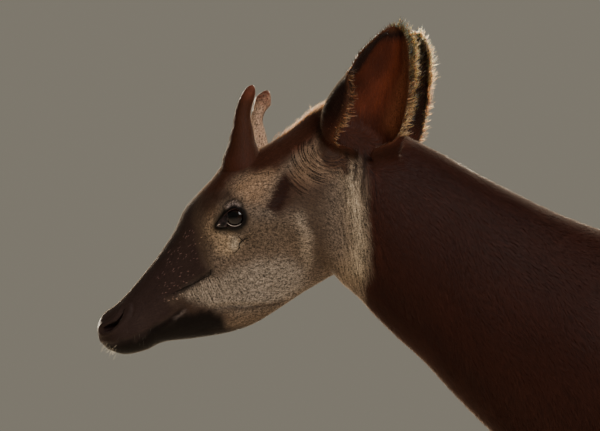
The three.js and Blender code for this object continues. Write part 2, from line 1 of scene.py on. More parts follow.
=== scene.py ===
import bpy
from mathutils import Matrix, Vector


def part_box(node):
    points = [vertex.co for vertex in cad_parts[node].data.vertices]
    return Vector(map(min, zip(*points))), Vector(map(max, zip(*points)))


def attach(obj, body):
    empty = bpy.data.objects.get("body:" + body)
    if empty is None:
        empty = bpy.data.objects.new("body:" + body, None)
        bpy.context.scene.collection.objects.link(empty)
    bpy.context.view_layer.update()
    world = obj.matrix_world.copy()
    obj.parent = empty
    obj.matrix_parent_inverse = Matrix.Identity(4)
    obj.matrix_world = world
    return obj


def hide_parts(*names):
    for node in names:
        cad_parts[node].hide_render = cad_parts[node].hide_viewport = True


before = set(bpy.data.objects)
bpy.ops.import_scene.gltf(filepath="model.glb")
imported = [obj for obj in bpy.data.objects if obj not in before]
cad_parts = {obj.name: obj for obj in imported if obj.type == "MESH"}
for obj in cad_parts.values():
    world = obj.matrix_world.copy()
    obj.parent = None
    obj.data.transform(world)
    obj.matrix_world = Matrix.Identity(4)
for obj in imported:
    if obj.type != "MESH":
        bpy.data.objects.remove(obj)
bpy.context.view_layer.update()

# The skin, coat, eyes, ossicones and hooves of a life-size okapi.
# Tables are in millimetres from the floor under the withers: x to the tail, the left side at -y.
import math

import bpy
import numpy as np
from mathutils import Vector

MM = 0.001
LEFT, RIGHT = -1, 1
SIDES = ((LEFT, "left"), (RIGHT, "right"))

# Driving sizes, the same as the solids'
EYE = {"x": -779, "out": 79, "z": 1586, "radius": 21}
LID_THICK = 4
HOOF_TOP = 85
CORONET_SLOPE = 0.32
CLEFT = 4

# The trunk from the nose to the rump as upright slices: the back line's x and z, the under line's x and z,
# half the width, the widest place's height as a share, and how square the upper and lower halves are.
HEAD_SLICES = [
    (-1011, 1417, -1011, 1417, 0, 0.5, 2, 2),
    (-1009, 1427, -1008, 1406, 11, 0.5, 2, 2),
    (-1005, 1436, -1002, 1395, 19, 0.5, 2, 2),
    (-998, 1445, -987, 1386, 28, 0.5, 2.1, 2.1),
    (-982, 1456, -966, 1381, 36, 0.46, 2.2, 2.2),
    (-962, 1475, -937, 1387, 39, 0.46, 2.2, 2.2),
    (-946, 1494, -909, 1399, 40, 0.5, 2.1, 2.1),
    (-918, 1528, -860, 1405, 46, 0.56, 2.1, 2),
    (-892, 1566, -810, 1413, 56, 0.6, 2.2, 1.8),
    (-873, 1602, -768, 1427, 70, 0.66, 2.4, 1.65),
    (-854, 1622, -730, 1450, 82, 0.7, 2.5, 1.55),
    (-832, 1644, -693, 1474, 89, 0.7, 2.5, 1.55),
    (-804, 1676, -667, 1489, 91, 0.67, 2.4, 1.6),
    (-758, 1692, -650, 1498, 89, 0.62, 2.3, 1.7),
    (-716, 1717, -643, 1495, 85, 0.58, 2.2, 1.8),
    (-673, 1750, -634, 1485, 82, 0.55, 2.1, 1.9),
    (-632, 1756, -621, 1474, 78, 0.52, 2, 2),
]
NECK_SLICES = [
    (-586, 1737, -606, 1461, 75, 0.48, 1.9, 2),
    (-533, 1705, -582, 1435, 74, 0.45, 1.8, 2.1),
    (-487, 1681, -551, 1405, 75, 0.42, 1.75, 2.1),
    (-426, 1647, -510, 1368, 79, 0.4, 1.75, 2.1),
    (-366, 1616, -463, 1318, 86, 0.38, 1.75, 2.1),
    (-305, 1587, -411, 1266, 95, 0.38, 1.75, 2.1),
    (-244, 1564, -353, 1207, 107, 0.4, 1.75, 2.1),
    (-168, 1538, -289, 1144, 122, 0.42, 1.75, 2.1),
]
BODY_SLICES = [
    (-85, 1517, -228, 1070, 140, 0.45, 1.7, 2.1),
    (0, 1503, -150, 965, 165, 0.46, 1.7, 2.1),
    (100, 1488, -45, 893, 192, 0.46, 1.85, 2.1),
    (200, 1474, 75, 866, 213, 0.46, 1.95, 2.1),
    (320, 1460, 215, 852, 226, 0.46, 2, 2.1),
    (440, 1450, 360, 846, 230, 0.46, 2, 2.1),
    (550, 1442, 500, 852, 226, 0.47, 2, 2.1),
    (640, 1432, 620, 872, 212, 0.5, 2.05, 2.1),
    (740, 1420, 715, 908, 190, 0.53, 2.1, 2.1),
    (830, 1392, 800, 955, 166, 0.56, 2.1, 2.1),
    (905, 1345, 880, 1010, 132, 0.58, 2.1, 2.1),
    (960, 1280, 945, 1075, 90, 0.6, 2, 2),
    (985, 1190, 985, 1190, 0, 0.5, 2, 2),
]
SLICES = np.array(HEAD_SLICES + NECK_SLICES + BODY_SLICES, float)
HEAD_END = len(HEAD_SLICES) - 1
NECK_END = HEAD_END + len(NECK_SLICES)
RUMP = len(SLICES) - 1

# Swellings and hollows of the flanks from the side: x, z, half length, half width, slope in degrees, rise.
SWELLINGS = [
    (-780, 1588, 30, 23, 30, 8),  # the rim of the eye socket
    (-778, 1617, 26, 9, 30, 6),  # the brow
    (-712, 1612, 24, 14, 50, -8),  # the hollow of the temple
    (-700, 1545, 48, 40, 36, 9),  # the jaw muscle
    (-735, 1578, 50, 9, 30, 5),  # the cheek bone
    (-845, 1545, 34, 14, 36, -5),  # the hollow in front of the cheek bone
    (-770, 1455, 60, 8, 20, 5),  # the edge of the lower jaw
    (-640, 1700, 40, 36, 60, 10),  # the root of the ear
    (-610, 1530, 26, 70, 0, -7),  # the throat behind the jaw
    (-250, 1420, 130, 60, -35, 10),  # the long muscle of the neck
    (-10, 1360, 45, 120, -12, 12),  # the ridge of the shoulder blade
    (640, 1350, 70, 60, 0, 16),  # the point of the hip
    (610, 1120, 60, 110, 0, -14),  # the hollow of the flank
]

# A leg as level slices from the top down: height, centre x, distance out from the middle of the animal,
# reach to the front, reach to the rear, half the width.
FORELEG_SLICES = [
    (1265, -40, 100, 60, 60, 24),
    (1230, -46, 112, 90, 90, 40),
    (1150, -56, 124, 118, 112, 54),
    (1060, -56, 132, 122, 122, 62),
    (985, -36, 138, 104, 116, 64),
    (920, -18, 137, 80, 92, 58),
    (850, -12, 132, 62, 64, 50),
    (760, -12, 127, 52, 50, 42),
    (660, -11, 123, 44, 42, 37),
    (590, -11, 121, 40, 40, 36),
    (545, -13, 120, 43, 42, 40),
    (500, -15, 119, 46, 43, 43),
    (458, -13, 118, 41, 44, 39),
    (415, -8, 117, 32, 35, 31),
    (360, -6, 116, 27, 32, 26),
    (280, -6, 116, 25, 31, 24),
    (215, -6, 115, 27, 33, 27),
    (170, -8, 115, 34, 41, 36),
    (130, -20, 115, 30, 33, 31),
    (105, -30, 115, 33, 34, 34),
    (HOOF_TOP, -38, 115, 38, 38, 38),
]
HINDLEG_SLICES = [
    (1330, 815, 92, 70, 60, 26),
    (1290, 825, 98, 110, 95, 44),
    (1210, 842, 108, 160, 128, 66),
    (1120, 842, 118, 184, 146, 80),
    (1030, 828, 126, 176, 148, 80),
    (950, 816, 130, 150, 140, 70),
    (880, 822, 131, 116, 116, 58),
    (800, 846, 129, 84, 84, 47),
    (720, 878, 127, 62, 60, 39),
    (650, 910, 124, 47, 50, 33),
    (595, 934, 122, 42, 58, 32),
    (552, 944, 121, 43, 58, 34),
    (505, 944, 120, 44, 50, 36),
    (455, 934, 119, 37, 42, 32),
    (400, 927, 118, 30, 36, 27),
    (300, 921, 117, 27, 32, 24),
    (215, 915, 116, 28, 33, 26),
    (170, 909, 116, 33, 40, 34),
    (130, 895, 116, 29, 33, 30),
    (105, 884, 116, 32, 34, 33),
    (HOOF_TOP, 876, 116, 37, 38, 37),
]
# One hoof of a foot's two: height, reach to the front and rear of the foot's centre, half the width.
HOOF_SLICES = [
    (HOOF_TOP, 38, 36, 18),
    (60, 46, 40, 20),
    (22, 58, 42, 21.5),
    (6, 62, 42, 22),
    (0, 59, 40, 20.5),
]
# Each leg with its rows, its side, and how far its foot stands behind (+) or before (-) the square place
LEGS = {
    "foreleg_left": (FORELEG_SLICES, LEFT, -34),
    "foreleg_right": (FORELEG_SLICES, RIGHT, 36),
    "hindleg_left": (HINDLEG_SLICES, LEFT, 62),
    "hindleg_right": (HINDLEG_SLICES, RIGHT, -48),
}
LEAN_FROM, LEAN_TO = 1000, 200  # a leg takes up its step between these heights

# Muscles, bones and sinews of a leg: height, angle from the rear towards the outside, tall, wide, rise.
# The angle and the width are in degrees, the rest in millimetres.
FORELEG_FORMS = [
    (1130, 60, 70, 26, 6),
    (1000, 120, 60, 24, 5),
    (930, 10, 50, 26, 4),
    (800, 60, 70, 24, 3),
    (505, 180, 26, 40, 4),
    (500, 90, 20, 26, 3),
    (500, 270, 20, 26, 3),
    (490, 0, 24, 24, 4),
    (330, 45, 90, 16, -3),
    (330, 315, 90, 16, -3),
    (172, 10, 14, 30, 4),
]
HINDLEG_FORMS = [
    (1120, 130, 80, 26, 8),
    (1080, 40, 90, 24, 7),
    (960, 90, 50, 30, -4),
    (860, 110, 60, 26, 5),
    (690, 55, 60, 24, -7),
    (690, 305, 60, 24, -7),
    (590, 0, 28, 22, 7),
    (540, 95, 20, 26, 4),
    (540, 265, 20, 26, 3),
    (330, 45, 90, 16, -3),
    (330, 315, 90, 16, -3),
    (172, 10, 14, 30, 4),
]

# An ear as level slices from the root up: height, front x, rear x, distance out of its middle, half its
# depth, and how far the rear and the front edge curl round to the outside, in degrees.
EAR_SLICES = [
    (1650, -616, -560, 38, 14, 90, 88),
    (1668, -627, -550, 45, 20, 90, 88),
    (1682, -636, -542, 58, 27, 80, 80),
    (1692, -642, -537, 68, 32, 44, 42),
    (1704, -647, -533, 76, 37, 24, 50),
    (1722, -650, -529, 83, 41, 12, 68),
    (1746, -645, -524, 88, 43, 5, 74),
    (1768, -632, -521, 91, 42, 2, 66),
    (1784, -619, -520, 92, 40, 0, 44),
    (1798, -609, -520, 92, 37, 0, 12),
    (1822, -596, -521, 91, 30, 0, 0),
    (1840, -579, -524, 89, 22, 0, 0),
    (1853, -564, -529, 87, 14, 0, 0),
    (1861, -553, -536, 86, 7, 0, 0),
    (1864, -547, -541, 85, 3, 0, 0),
]
EAR_WALL = {"root": 5, "edge": 2}

# The axis of an ossicone: x, distance out, height and radius
OSSICONE_PATH = [
    (-776, 38, 1612, 18),
    (-778, 42, 1640, 32),
    (-779, 47, 1664, 32),
    (-778, 50, 1684, 25.5),
    (-778, 52, 1700, 20.5),
    (-777, 54, 1716, 16.5),
    (-777, 56, 1734, 13.3),
    (-774, 58, 1750, 11.6),
    (-768.5, 60, 1764, 10.6),
    (-764, 61, 1773.5, 8.8),
    (-761.5, 61, 1779, 5.8),
    (-760.5, 61, 1781.5, 2.2),
]
# How far each ossicone swells at its tip and how far it is drawn in below it
OSSICONE_TIP = {LEFT: (0.4, 0.0), RIGHT: (3.4, 3.0)}
# The axis of the tail: x, height and radius
TAIL_PATH = [
    (900, 1262, 32),
    (940, 1262, 30),
    (975, 1254, 27),
    (1004, 1222, 21),
    (1019, 1170, 16.5),
    (1026, 1105, 13),
    (1027, 1045, 11),
    (1027, 985, 10),
    (1027, 940, 7),
    (1027, 905, 3),
]
TUFT = {"x": 1027, "top": 985, "tip": 800, "spread": 17}

# The line between the lips seen from the side, from the corner of the mouth to past the front of the nose
MOUTH_LINE = [
    (-868, 1452), (-885, 1439), (-903, 1427), (-928, 1415), (-954, 1403), (-978, 1397), (-1030, 1395),
]
LIPS_END = -866  # where the lips' dark skin ends to the rear
# A nostril seen from the side, from its upper end forward and down, each place with its half width
NOSTRIL_LINE = [(-962, 1449, 1), (-966, 1438, 1.8), (-974, 1428, 3.6), (-985, 1421, 6.4), (-995, 1418, 6.6)]
# The opening between the lids about the middle of the eye: along the head and up
LID_OPENING = [
    (-30, -14.6),
    (-24, -6.8),
    (-18.5, -0.6),
    (-13, 4.4),
    (-7.5, 7.8),
    (-1.5, 9.4),
    (4.2, 7.8),
    (8.8, 3.4),
    (10.8, -2.8),
    (9.6, -9),
    (5, -14.2),
    (-1.5, -16.6),
    (-8.5, -16),
    (-15, -14.8),
    (-22.5, -15.4),
]
# The flesh in the front corner of the eye and the bead of tears under the ball, about the middle of the eye
CORNER_FLESH = [
    (-31.5, -15.2), (-25, -5.8), (-18.5, 0.8), (-13.4, 5.4), (-11.8, 1), (-12, -5), (-13.4, -10),
    (-16, -15.8), (-23, -16.8),
]
# the beads of tears are painted pale as the glint of the wet film
TEAR_LINES = {
    "tear": [(8, -11.4), (4.4, -13.8), (-1.5, -15.5), (-7, -14.9), (-11, -12.9), (-14.4, -10.2)],
    "corner_glint": [(-28.6, -14.4), (-26.6, -13), (-24.4, -12.4)],
}
# The fold of the upper lid seen from the side; the pelt paints a highlight along it and shade in the crease
# above it
LID_FOLD = [(-793, 1598), (-787.5, 1602.2), (-781, 1604), (-774.5, 1601)]
# Creases of the face: a line seen from the side, its depth, half width, and the rise of the skin above it
CREASES = [
    ([(-909, 1465), (-883, 1474), (-860, 1485), (-844, 1492), (-828, 1500)], 2.4, 3.2, -2.2),
    ([(-790, 1531), (-780, 1538), (-776, 1548), (-770, 1552), (-758, 1559)], 1.6, 2.2, 1.6),
    ([(-838, 1448), (-804, 1454), (-774, 1454), (-740, 1452)], 1.6, 3.6, 1.2),
    ([(-838, 1540), (-834, 1522), (-825, 1506)], 1.4, 3, 0),
    ([(-949, 1461), (-949, 1447), (-951, 1437)], 1.2, 2.6, 0),
    ([(-806, 1610), (-794, 1624), (-776, 1628), (-760, 1620)], 1.6, 3, 1.2),
    ([(-812, 1572), (-800, 1562), (-782, 1558), (-766, 1564)], 1.4, 2.6, -1),
    ([(-870, 1456), (-862, 1448), (-858, 1436)], 1.6, 3, 0),
    ([(-797, 1602), (-789, 1607), (-780, 1608.5), (-770, 1604)], 2.2, 2.4, 0),
]

# Numbers that mark which form a face of the skin belongs to
TRUNK, TAIL, EAR, OSSICONE, LID, INSIDE = 1, 6, 7, 8, 9, 10
LEG_PARTS = {name: 2 + i for i, name in enumerate(LEGS)}


def through(rows, s):
    """A smooth curve through rows of numbers, at s counted in rows: Catmull-Rom, run on straight."""
    rows = np.asarray(rows, float)
    s = np.asarray(s, float)
    held = np.vstack([2 * rows[0] - rows[1], rows, 2 * rows[-1] - rows[-2]])
    i = np.clip(np.floor(s).astype(int), 0, len(rows) - 2)
    t = (s - i)[..., None]
    before, here, ahead, after = held[i], held[i + 1], held[i + 2], held[i + 3]
    bend = 2 * before - 5 * here + 4 * ahead - after
    twist = 3 * here - before - 3 * ahead + after
    return here + 0.5 * t * (ahead - before + t * (bend + t * twist))


def signed(value, power):
    """A number raised to a power with its sign kept."""
    return np.sign(value) * np.abs(value) ** power


def fade(low, high, value):
    """0 below the low value and 1 above the high one, with a smooth S between them."""
    t = np.clip((value - low) / (high - low), 0, 1)
    return t * t * (3 - 2 * t)


def bell(value, wide):
    """1 at 0 and falling off to both sides as a bell of a given width."""
    return np.exp(-((value / wide) ** 2))


def toward(values, share, goal):
    """Rows of values moved a share of the way to a goal."""
    return values + share[:, None] * (goal - values)


def unit(vectors):
    """Vectors brought to length one."""
    return vectors / np.maximum(np.linalg.norm(vectors, axis=-1, keepdims=True), 1e-9)


def laid_flat(way, normal):
    """Ways brought level with a surface that has these normals, at length one."""
    return unit(way - np.sum(way * normal, axis=1)[:, None] * normal)


def even_run(rows, count):
    """The smooth curve through rows of numbers, in even steps from its first row to its last."""
    return through(rows, np.linspace(0, len(rows) - 1, count))


def angles(around):
    """Even steps of angle once round."""
    return np.arange(around) / around * 2 * math.pi


def rows_round(rows, around):
    """A grid of values along a form by angles round it."""
    return np.meshgrid(rows, angles(around), indexing="ij")


def bumps(table, side):
    """The sum of a table's bumps at places seen from the side: each is a bell, turned by its slope."""
    total = np.zeros(side.shape[:-1])
    for x, z, long, wide, slope, rise in table:
        turn = math.radians(slope)
        dx, dz = side[..., 0] - x, side[..., 1] - z
        along = (dx * math.cos(turn) + dz * math.sin(turn)) / long
        across = (dz * math.cos(turn) - dx * math.sin(turn)) / wide
        total += rise * np.exp(-(along**2 + across**2) / 2)
    return total


def from_line(line, side):
    """How far places lie above (+) or below (-) a line of straight stretches, and where along it, 0 to 1."""
    line = np.asarray(line, float)
    best = np.full(side.shape[:-1], np.inf)
    above = np.zeros(best.shape)
    share = np.zeros(best.shape)
    for i, (start, end) in enumerate(zip(line, line[1:])):
        run = end - start
        t = np.clip(((side - start) @ run) / (run @ run), 0, 1)
        away = side - start - t[..., None] * run
        far = np.linalg.norm(away, axis=-1)
        cross = run[0] * (side[..., 1] - start[1]) - run[1] * (side[..., 0] - start[0])
        nearer = far < best
        above = np.where(nearer, np.sign(cross) * np.sign(run[0] or 1), above)
        share = np.where(nearer, (i + t) / (len(line) - 1), share)
        best = np.minimum(best, far)
    return best * above, share


def slice_at(s):
    """Slice s of the trunk: its foot, the way up it, its height, half width and form."""
    row = through(SLICES, s)
    foot, top = row[..., 2:4], row[..., 0:2]
    tall = np.linalg.norm(top - foot, axis=-1)
    up = np.where(tall[..., None] > 0.5, (top - foot) / np.maximum(tall, 0.5)[..., None], [0.0, 1.0])
    half, level, crown, keel = np.moveaxis(row[..., 4:], -1, 0)
    return foot, up, tall, half, level, crown, keel


def coat_depth(s):
    """How far the skin lies under the tips of the coat at slice s: least at the nose, most on the body."""
    return np.interp(s, [0, 3, 8, HEAD_END, NECK_END, RUMP], [0.3, 0.5, 1.4, 2.2, 3.5, 4])


def trunk_point(s, t):
    """A point of the trunk's skin at slice s and angle t from the right flank over the back: two half
    superellipses, over and under the slice's widest place, with the swellings added to its width."""
    foot, up, tall, half, level, crown, keel = slice_at(s)
    upper = np.sin(t) > 0
    power = 2 / np.where(upper, crown, keel)
    depth = coat_depth(s)
    reach = np.maximum(np.where(upper, 1 - level, level) * tall - depth, 0)
    rise = level * tall + signed(np.sin(t), power) * reach
    side = foot + up * rise[..., None]
    flank = np.abs(np.cos(t)) ** 1.5 * np.minimum(1, half / 40)
    out = np.maximum(half - depth, 0) + bumps(SWELLINGS, side) * flank
    return np.stack([side[..., 0], signed(np.cos(t), power) * out, side[..., 1]], axis=-1)


def trunk_place(points):
    """The slice and angle of points on the trunk: one by halving, one by undoing the superellipse."""
    side = points[:, [0, 2]]
    low = np.zeros(len(points))
    high = np.full(len(points), float(RUMP))
    for _ in range(22):
        middle = (low + high) / 2
        row = through(SLICES, middle)
        up = row[:, 0:2] - row[:, 2:4]
        away = side - row[:, 2:4]
        ahead = away[:, 0] * up[:, 1] - away[:, 1] * up[:, 0] > 0
        low = np.where(ahead, middle, low)
        high = np.where(ahead, high, middle)
    foot, up, tall, half, level, crown, keel = slice_at(low)
    rise = np.sum((side - foot) * up, axis=1) - level * tall
    upper = rise > 0
    power = np.where(upper, crown, keel) / 2
    reach = np.maximum(np.where(upper, 1 - level, level) * tall, 1)
    sine = signed(np.clip(rise / reach, -1, 1), power)
    cosine = signed(np.clip(points[:, 1] / np.maximum(half, 1), -1, 1), power)
    return low, np.arctan2(sine, cosine)


def face_relief(points):
    """How far the fine forms of the face stand out of its plain surface: the lips each side of the mouth's
    line, the rim of the nostril, and the creases, each a bell of the distance from its line."""
    side = points[..., [0, 2]]
    far, share = from_line(MOUTH_LINE, side)
    open_mouth = fade(0, 0.12, share) * (np.abs(far) < 30)
    lips = 3.4 * bell(far - 6, 4.6) + 2.6 * bell(far + 5.5, 4)
    relief = open_mouth * (1 - 0.85 * fade(0.2, 0.5, share)) * (lips - 2.8 * bell(far, 1.5))
    far, share = from_line([row[:2] for row in NOSTRIL_LINE], side)
    wing = bell(np.abs(far) - 7.5, 3.4) * (0.5 + 0.5 * share)
    relief += 2.6 * wing * fade(8, 18, np.abs(points[..., 1]))
    for line, depth, wide, proud in CREASES:
        far, share = from_line(line, side)
        ends = np.clip(4 * np.minimum(share, 1 - share), 0, 1) ** 0.5
        step = proud * (np.tanh(far / wide) * 0.5) * bell(far, 5 * wide)
        relief += ends * (step - depth * bell(far, wide))
    return relief


def tube(rings):
    """A closed surface of triangles over rings of points, its ends closed to their middles."""
    rows, around = rings.shape[:2]
    points = np.concatenate([rings.reshape(-1, 3), rings[[0, -1]].mean(axis=1)])
    i, j = np.meshgrid(np.arange(rows - 1), np.arange(around), indexing="ij")
    a = (i * around + j).ravel()
    b = (i * around + (j + 1) % around).ravel()
    first = np.arange(around)
    after = (first + 1) % around
    last = (rows - 1) * around
    hub = np.full(around, rows * around)
    faces = np.concatenate([
        np.stack([a, b, b + around], axis=1),
        np.stack([a, b + around, a + around], axis=1),
        np.stack([hub, after, first], axis=1),
        np.stack([hub + 1, first + last, after + last], axis=1),
    ])
    return points, outward(points, faces)


def outward(points, faces):
    """The triangles of a closed surface, turned round if they point inwards: its volume tells."""
    a, b, c = (points[faces[:, k]] for k in range(3))
    return faces if np.sum(a * np.cross(b, c)) > 0 else faces[:, ::-1]


SHIFT = np.array([sum(corner.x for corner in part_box("eye_left")) / 2 - EYE["x"] * MM, 0, 0])


def new_mesh(name, points, faces, attributes=()):
    """A mesh from points in millimetres, rows of corners, and (name, type, domain, values) attributes."""
    faces = np.ascontiguousarray(faces, np.int32)
    mesh = bpy.data.meshes.new(name)
    mesh.vertices.add(len(points))
    mesh.vertices.foreach_set("co", (points * MM + SHIFT).astype(np.float32).ravel())
    mesh.loops.add(faces.size)
    mesh.loops.foreach_set("vertex_index", faces.ravel())
    mesh.polygons.add(len(faces))
    mesh.polygons.foreach_set("loop_start", np.arange(0, faces.size, faces.shape[1], dtype=np.int32))
    mesh.update(calc_edges=True)
    mesh.shade_smooth()
    add_attributes(mesh, attributes)
    return mesh


# The name under which each type of attribute keeps its values
FIELDS = {"FLOAT": "value", "INT": "value", "FLOAT_VECTOR": "vector", "FLOAT_COLOR": "color"}


def add_attributes(mesh, attributes):
    """Puts whole arrays of values on a mesh."""
    for name, kind, domain, values in attributes:
        layer = mesh.attributes.new(name, kind, domain)
        dtype = np.int32 if kind == "INT" else np.float32
        layer.data.foreach_set(FIELDS[kind], np.ascontiguousarray(values, dtype).ravel())


def new_object(name, data):
    """An object at the origin that shows a mesh, or a lamp or camera."""
    made = bpy.data.objects.new(name, data)
    bpy.context.scene.collection.objects.link(made)
    return made


def part_object(name, points, faces, part):
    """A form of the body for joining, its faces marked with their part's number and its points as kept."""
    marks = [
        ("part", "INT", "FACE", np.full(len(faces), part)),
        ("kept", "FLOAT", "POINT", np.ones(len(points))),
    ]
    return new_object(name, new_mesh(name, points, faces, marks))


def join_and_cut(base, steps):
    """Joins forms to a form or cuts them out of it, one by one, and returns the mesh that is left."""
    for other, operation in steps:
        step = base.modifiers.new(other.name, "BOOLEAN")
        step.operation = operation
        step.solver = "MANIFOLD"
        step.object = other
    done = bpy.data.meshes.new_from_object(base.evaluated_get(bpy.context.evaluated_depsgraph_get()))
    for gone in [base] + [other for other, _ in steps]:
        bpy.data.objects.remove(gone)
    return done


def rows_of(items, key, width, kind):
    """What Blender keeps for each point, edge or face of a mesh, as the rows of an array."""
    values = np.empty(len(items) * width, kind)
    items.foreach_get(key, values)
    return values.reshape(-1, width)


def read_mesh(mesh):
    """The points in millimetres, triangles, edges, and the faces' parts and the points' marks of a mesh."""
    mesh.calc_loop_triangles()
    points = (rows_of(mesh.vertices, "co", 3, np.float32).astype(float) - SHIFT) / MM
    faces = rows_of(mesh.loop_triangles, "vertices", 3, np.int32)
    edges = rows_of(mesh.edges, "vertices", 2, np.int32)
    owner = rows_of(mesh.loop_triangles, "polygon_index", 1, np.int32).ravel()
    part = rows_of(mesh.attributes["part"].data, "value", 1, np.int32).ravel()
    kept = rows_of(mesh.attributes["kept"].data, "value", 1, np.float32).ravel()
    return points, faces, edges, part[owner], kept > 0.5


def neighbours(values, edges):
    """The mean of the values of each point's neighbours."""
    count = np.maximum(np.bincount(edges.ravel(), minlength=len(values)), 1)
    total = np.stack([
        np.bincount(edges[:, 0], column[edges[:, 1]], len(values))
        + np.bincount(edges[:, 1], column[edges[:, 0]], len(values))
        for column in values.reshape(len(values), -1).T
    ], axis=-1)
    return (total / count[:, None]).reshape(values.shape)


def relax(values, edges, weight, rounds):
    """Moves values half of the way to their neighbours' mean, times a weight, again and again."""
    weight = weight.reshape((-1,) + (1,) * (values.ndim - 1))
    for _ in range(rounds):
        values = values + 0.5 * weight * (neighbours(values, edges) - values)
    return values


def from_seam(points, edges, seam, reach, rounds=40):
    """How much each point shares in a seam near it, 1 on the seam and 0 past its reach, along the edges."""
    long = np.linalg.norm(points[edges[:, 0]] - points[edges[:, 1]], axis=1)
    share = np.where(seam, 1.0, 0.0)
    reach_there = np.where(seam, reach, 0.0)
    for _ in range(rounds):
        for near, far in ((0, 1), (1, 0)):
            source, target = edges[:, near], edges[:, far]
            spread = np.maximum(reach_there[source], 1e-6)
            offer = share[source] - long / spread
            better = offer > share[target]
            share[target[better]] = offer[better]
            reach_there[target[better]] = reach_there[source[better]]
    return np.clip(share, 0, 1)


def on_trunk(part):
    """True for the trunk, the lids and the nostrils."""
    return (part == TRUNK) | (part == LID) | (part == INSIDE)


def point_parts(count, faces, part):
    """The highest part number among the faces that meet at each point."""
    parts = np.zeros(count, np.int32)
    np.maximum.at(parts, faces.ravel(), np.repeat(part, 3))
    return parts


AROUND = 168  # facets round the trunk
# The distance between the trunk's rings at these slices
SPACING = ([0, 4, HEAD_END, HEAD_END + 3, NECK_END, RUMP], [2.2, 2.4, 3.2, 7.5, 10, 13.5])
# How far the skin of the limbs lies under the coat's tips
COAT_ON_LIMBS = {"leg": 2.5, "tail": 2.0, "ossicone": 1.2}
SOCKET_GAP = 0.3  # between an eye's ball and its socket
# How far the smoothing of a seam reaches: round the lids, ears, tail and legs
SEAM_REACH = (7.0, 16.0, 45.0, 95.0)


def trunk_rings():
    """The slices at which the trunk's rings lie: steps that grow from the head to the rump."""
    s = np.linspace(0.03, RUMP - 0.03, 4000)
    row = through(SLICES, s)
    moved = np.diff(row[:, :5], axis=0)
    back, belly = np.hypot(moved[:, 0], moved[:, 1]), np.hypot(moved[:, 2], moved[:, 3])
    step = 0.5 * (back + belly) + np.abs(moved[:, 4]) / 3
    count = np.concatenate([[0], np.cumsum(step / np.interp(s[1:], *SPACING))])
    return np.interp(np.linspace(0, count[-1], int(count[-1]) + 1), count, s)


def trunk_form():
    """The trunk with the face's fine forms moved out along the surface."""
    s, t = rows_round(trunk_rings(), AROUND)
    grid = trunk_point(s, t)
    along = np.gradient(grid, axis=0)
    around = np.roll(grid, -1, axis=1) - np.roll(grid, 1, axis=1)
    normal = unit(np.cross(around, along))
    head = s < HEAD_END
    grid[head] += normal[head] * face_relief(grid[head])[:, None]
    return tube(grid)


def step_at(z, step):
    """How far a leg that takes a step has moved at a height: an S from its start down to its end."""
    return step * fade(0, 1, (LEAN_FROM - z) / (LEAN_FROM - LEAN_TO))


def tilted(z, behind):
    """The height of a leg's slice at a distance behind its middle: sloped like the coronet near the foot."""
    near = np.sin(math.pi * np.clip(z / (2 * HOOF_TOP), 0, 1))
    return z - CORONET_SLOPE * near * behind


def leg_form(rows, side, step, forms, rings=100, around=40):
    """A leg down to the coronet: level ovals, with its muscles and sinews as bells on them."""
    u, t = rows_round(np.linspace(0, len(rows) - 1, rings), around)
    z, x, out, front, rear, half = np.moveaxis(through(rows, u), -1, 0)
    forms_rise = np.zeros(z.shape)
    for height, angle, tall, wide, rise in forms:
        turn = (np.degrees(t) - angle + 180) % 360 - 180
        forms_rise += rise * np.exp(-(((z - height) / tall) ** 2 + (turn / wide) ** 2) / 2)
    thin = COAT_ON_LIMBS["leg"] * fade(HOOF_TOP, HOOF_TOP + 60, z)
    reach = np.where(np.cos(t) > 0, rear, front) + forms_rise - thin
    behind = signed(np.cos(t), 0.92) * reach
    outward_by = signed(np.sin(t), 0.92) * (half + forms_rise - thin)
    x = x + step_at(z, step) + behind
    return tube(np.stack([x, side * (out + outward_by), tilted(z, behind)], axis=-1))


def path_form(path, radius, around, across=(0, 1, 0)):
    """A round tube along a path of points: rings square to the path, each with its own radius."""
    ahead = unit(np.gradient(path, axis=0))
    across = np.array(across, float)
    side = unit(across - ahead * (ahead @ across)[:, None])[:, None]
    over = np.cross(ahead, side[:, 0])[:, None]
    t = angles(around)[:, None]
    radius = radius[:, None, None]
    return tube(path[:, None] + (side * np.cos(t) * radius + over * np.sin(t) * radius))


def tail_form():
    """The tail: a round tube that runs out inside the tuft."""
    x, z, radius = even_run(TAIL_PATH, 70).T
    radius = np.maximum(radius - COAT_ON_LIMBS["tail"], 1.5)
    return path_form(np.stack([x, 0 * x, z], axis=1), radius, 28)


def ear_surface(u, v, side):
    """A point of the middle of an ear's wall: at height u, an oval arc that is open to the outside, run
    from its rear edge to its front edge by v."""
    z, front_x, rear_x, out, deep, curl_rear, curl_front = np.moveaxis(through(EAR_SLICES, u), -1, 0)
    start, end = -np.radians(curl_rear), np.radians(180 + curl_front)
    angle = start + (end - start) * v
    x = (front_x + rear_x) / 2 + np.cos(angle) * (rear_x - front_x) / 2
    return np.stack([x, side * (out - np.sin(angle) * deep), z], axis=-1)


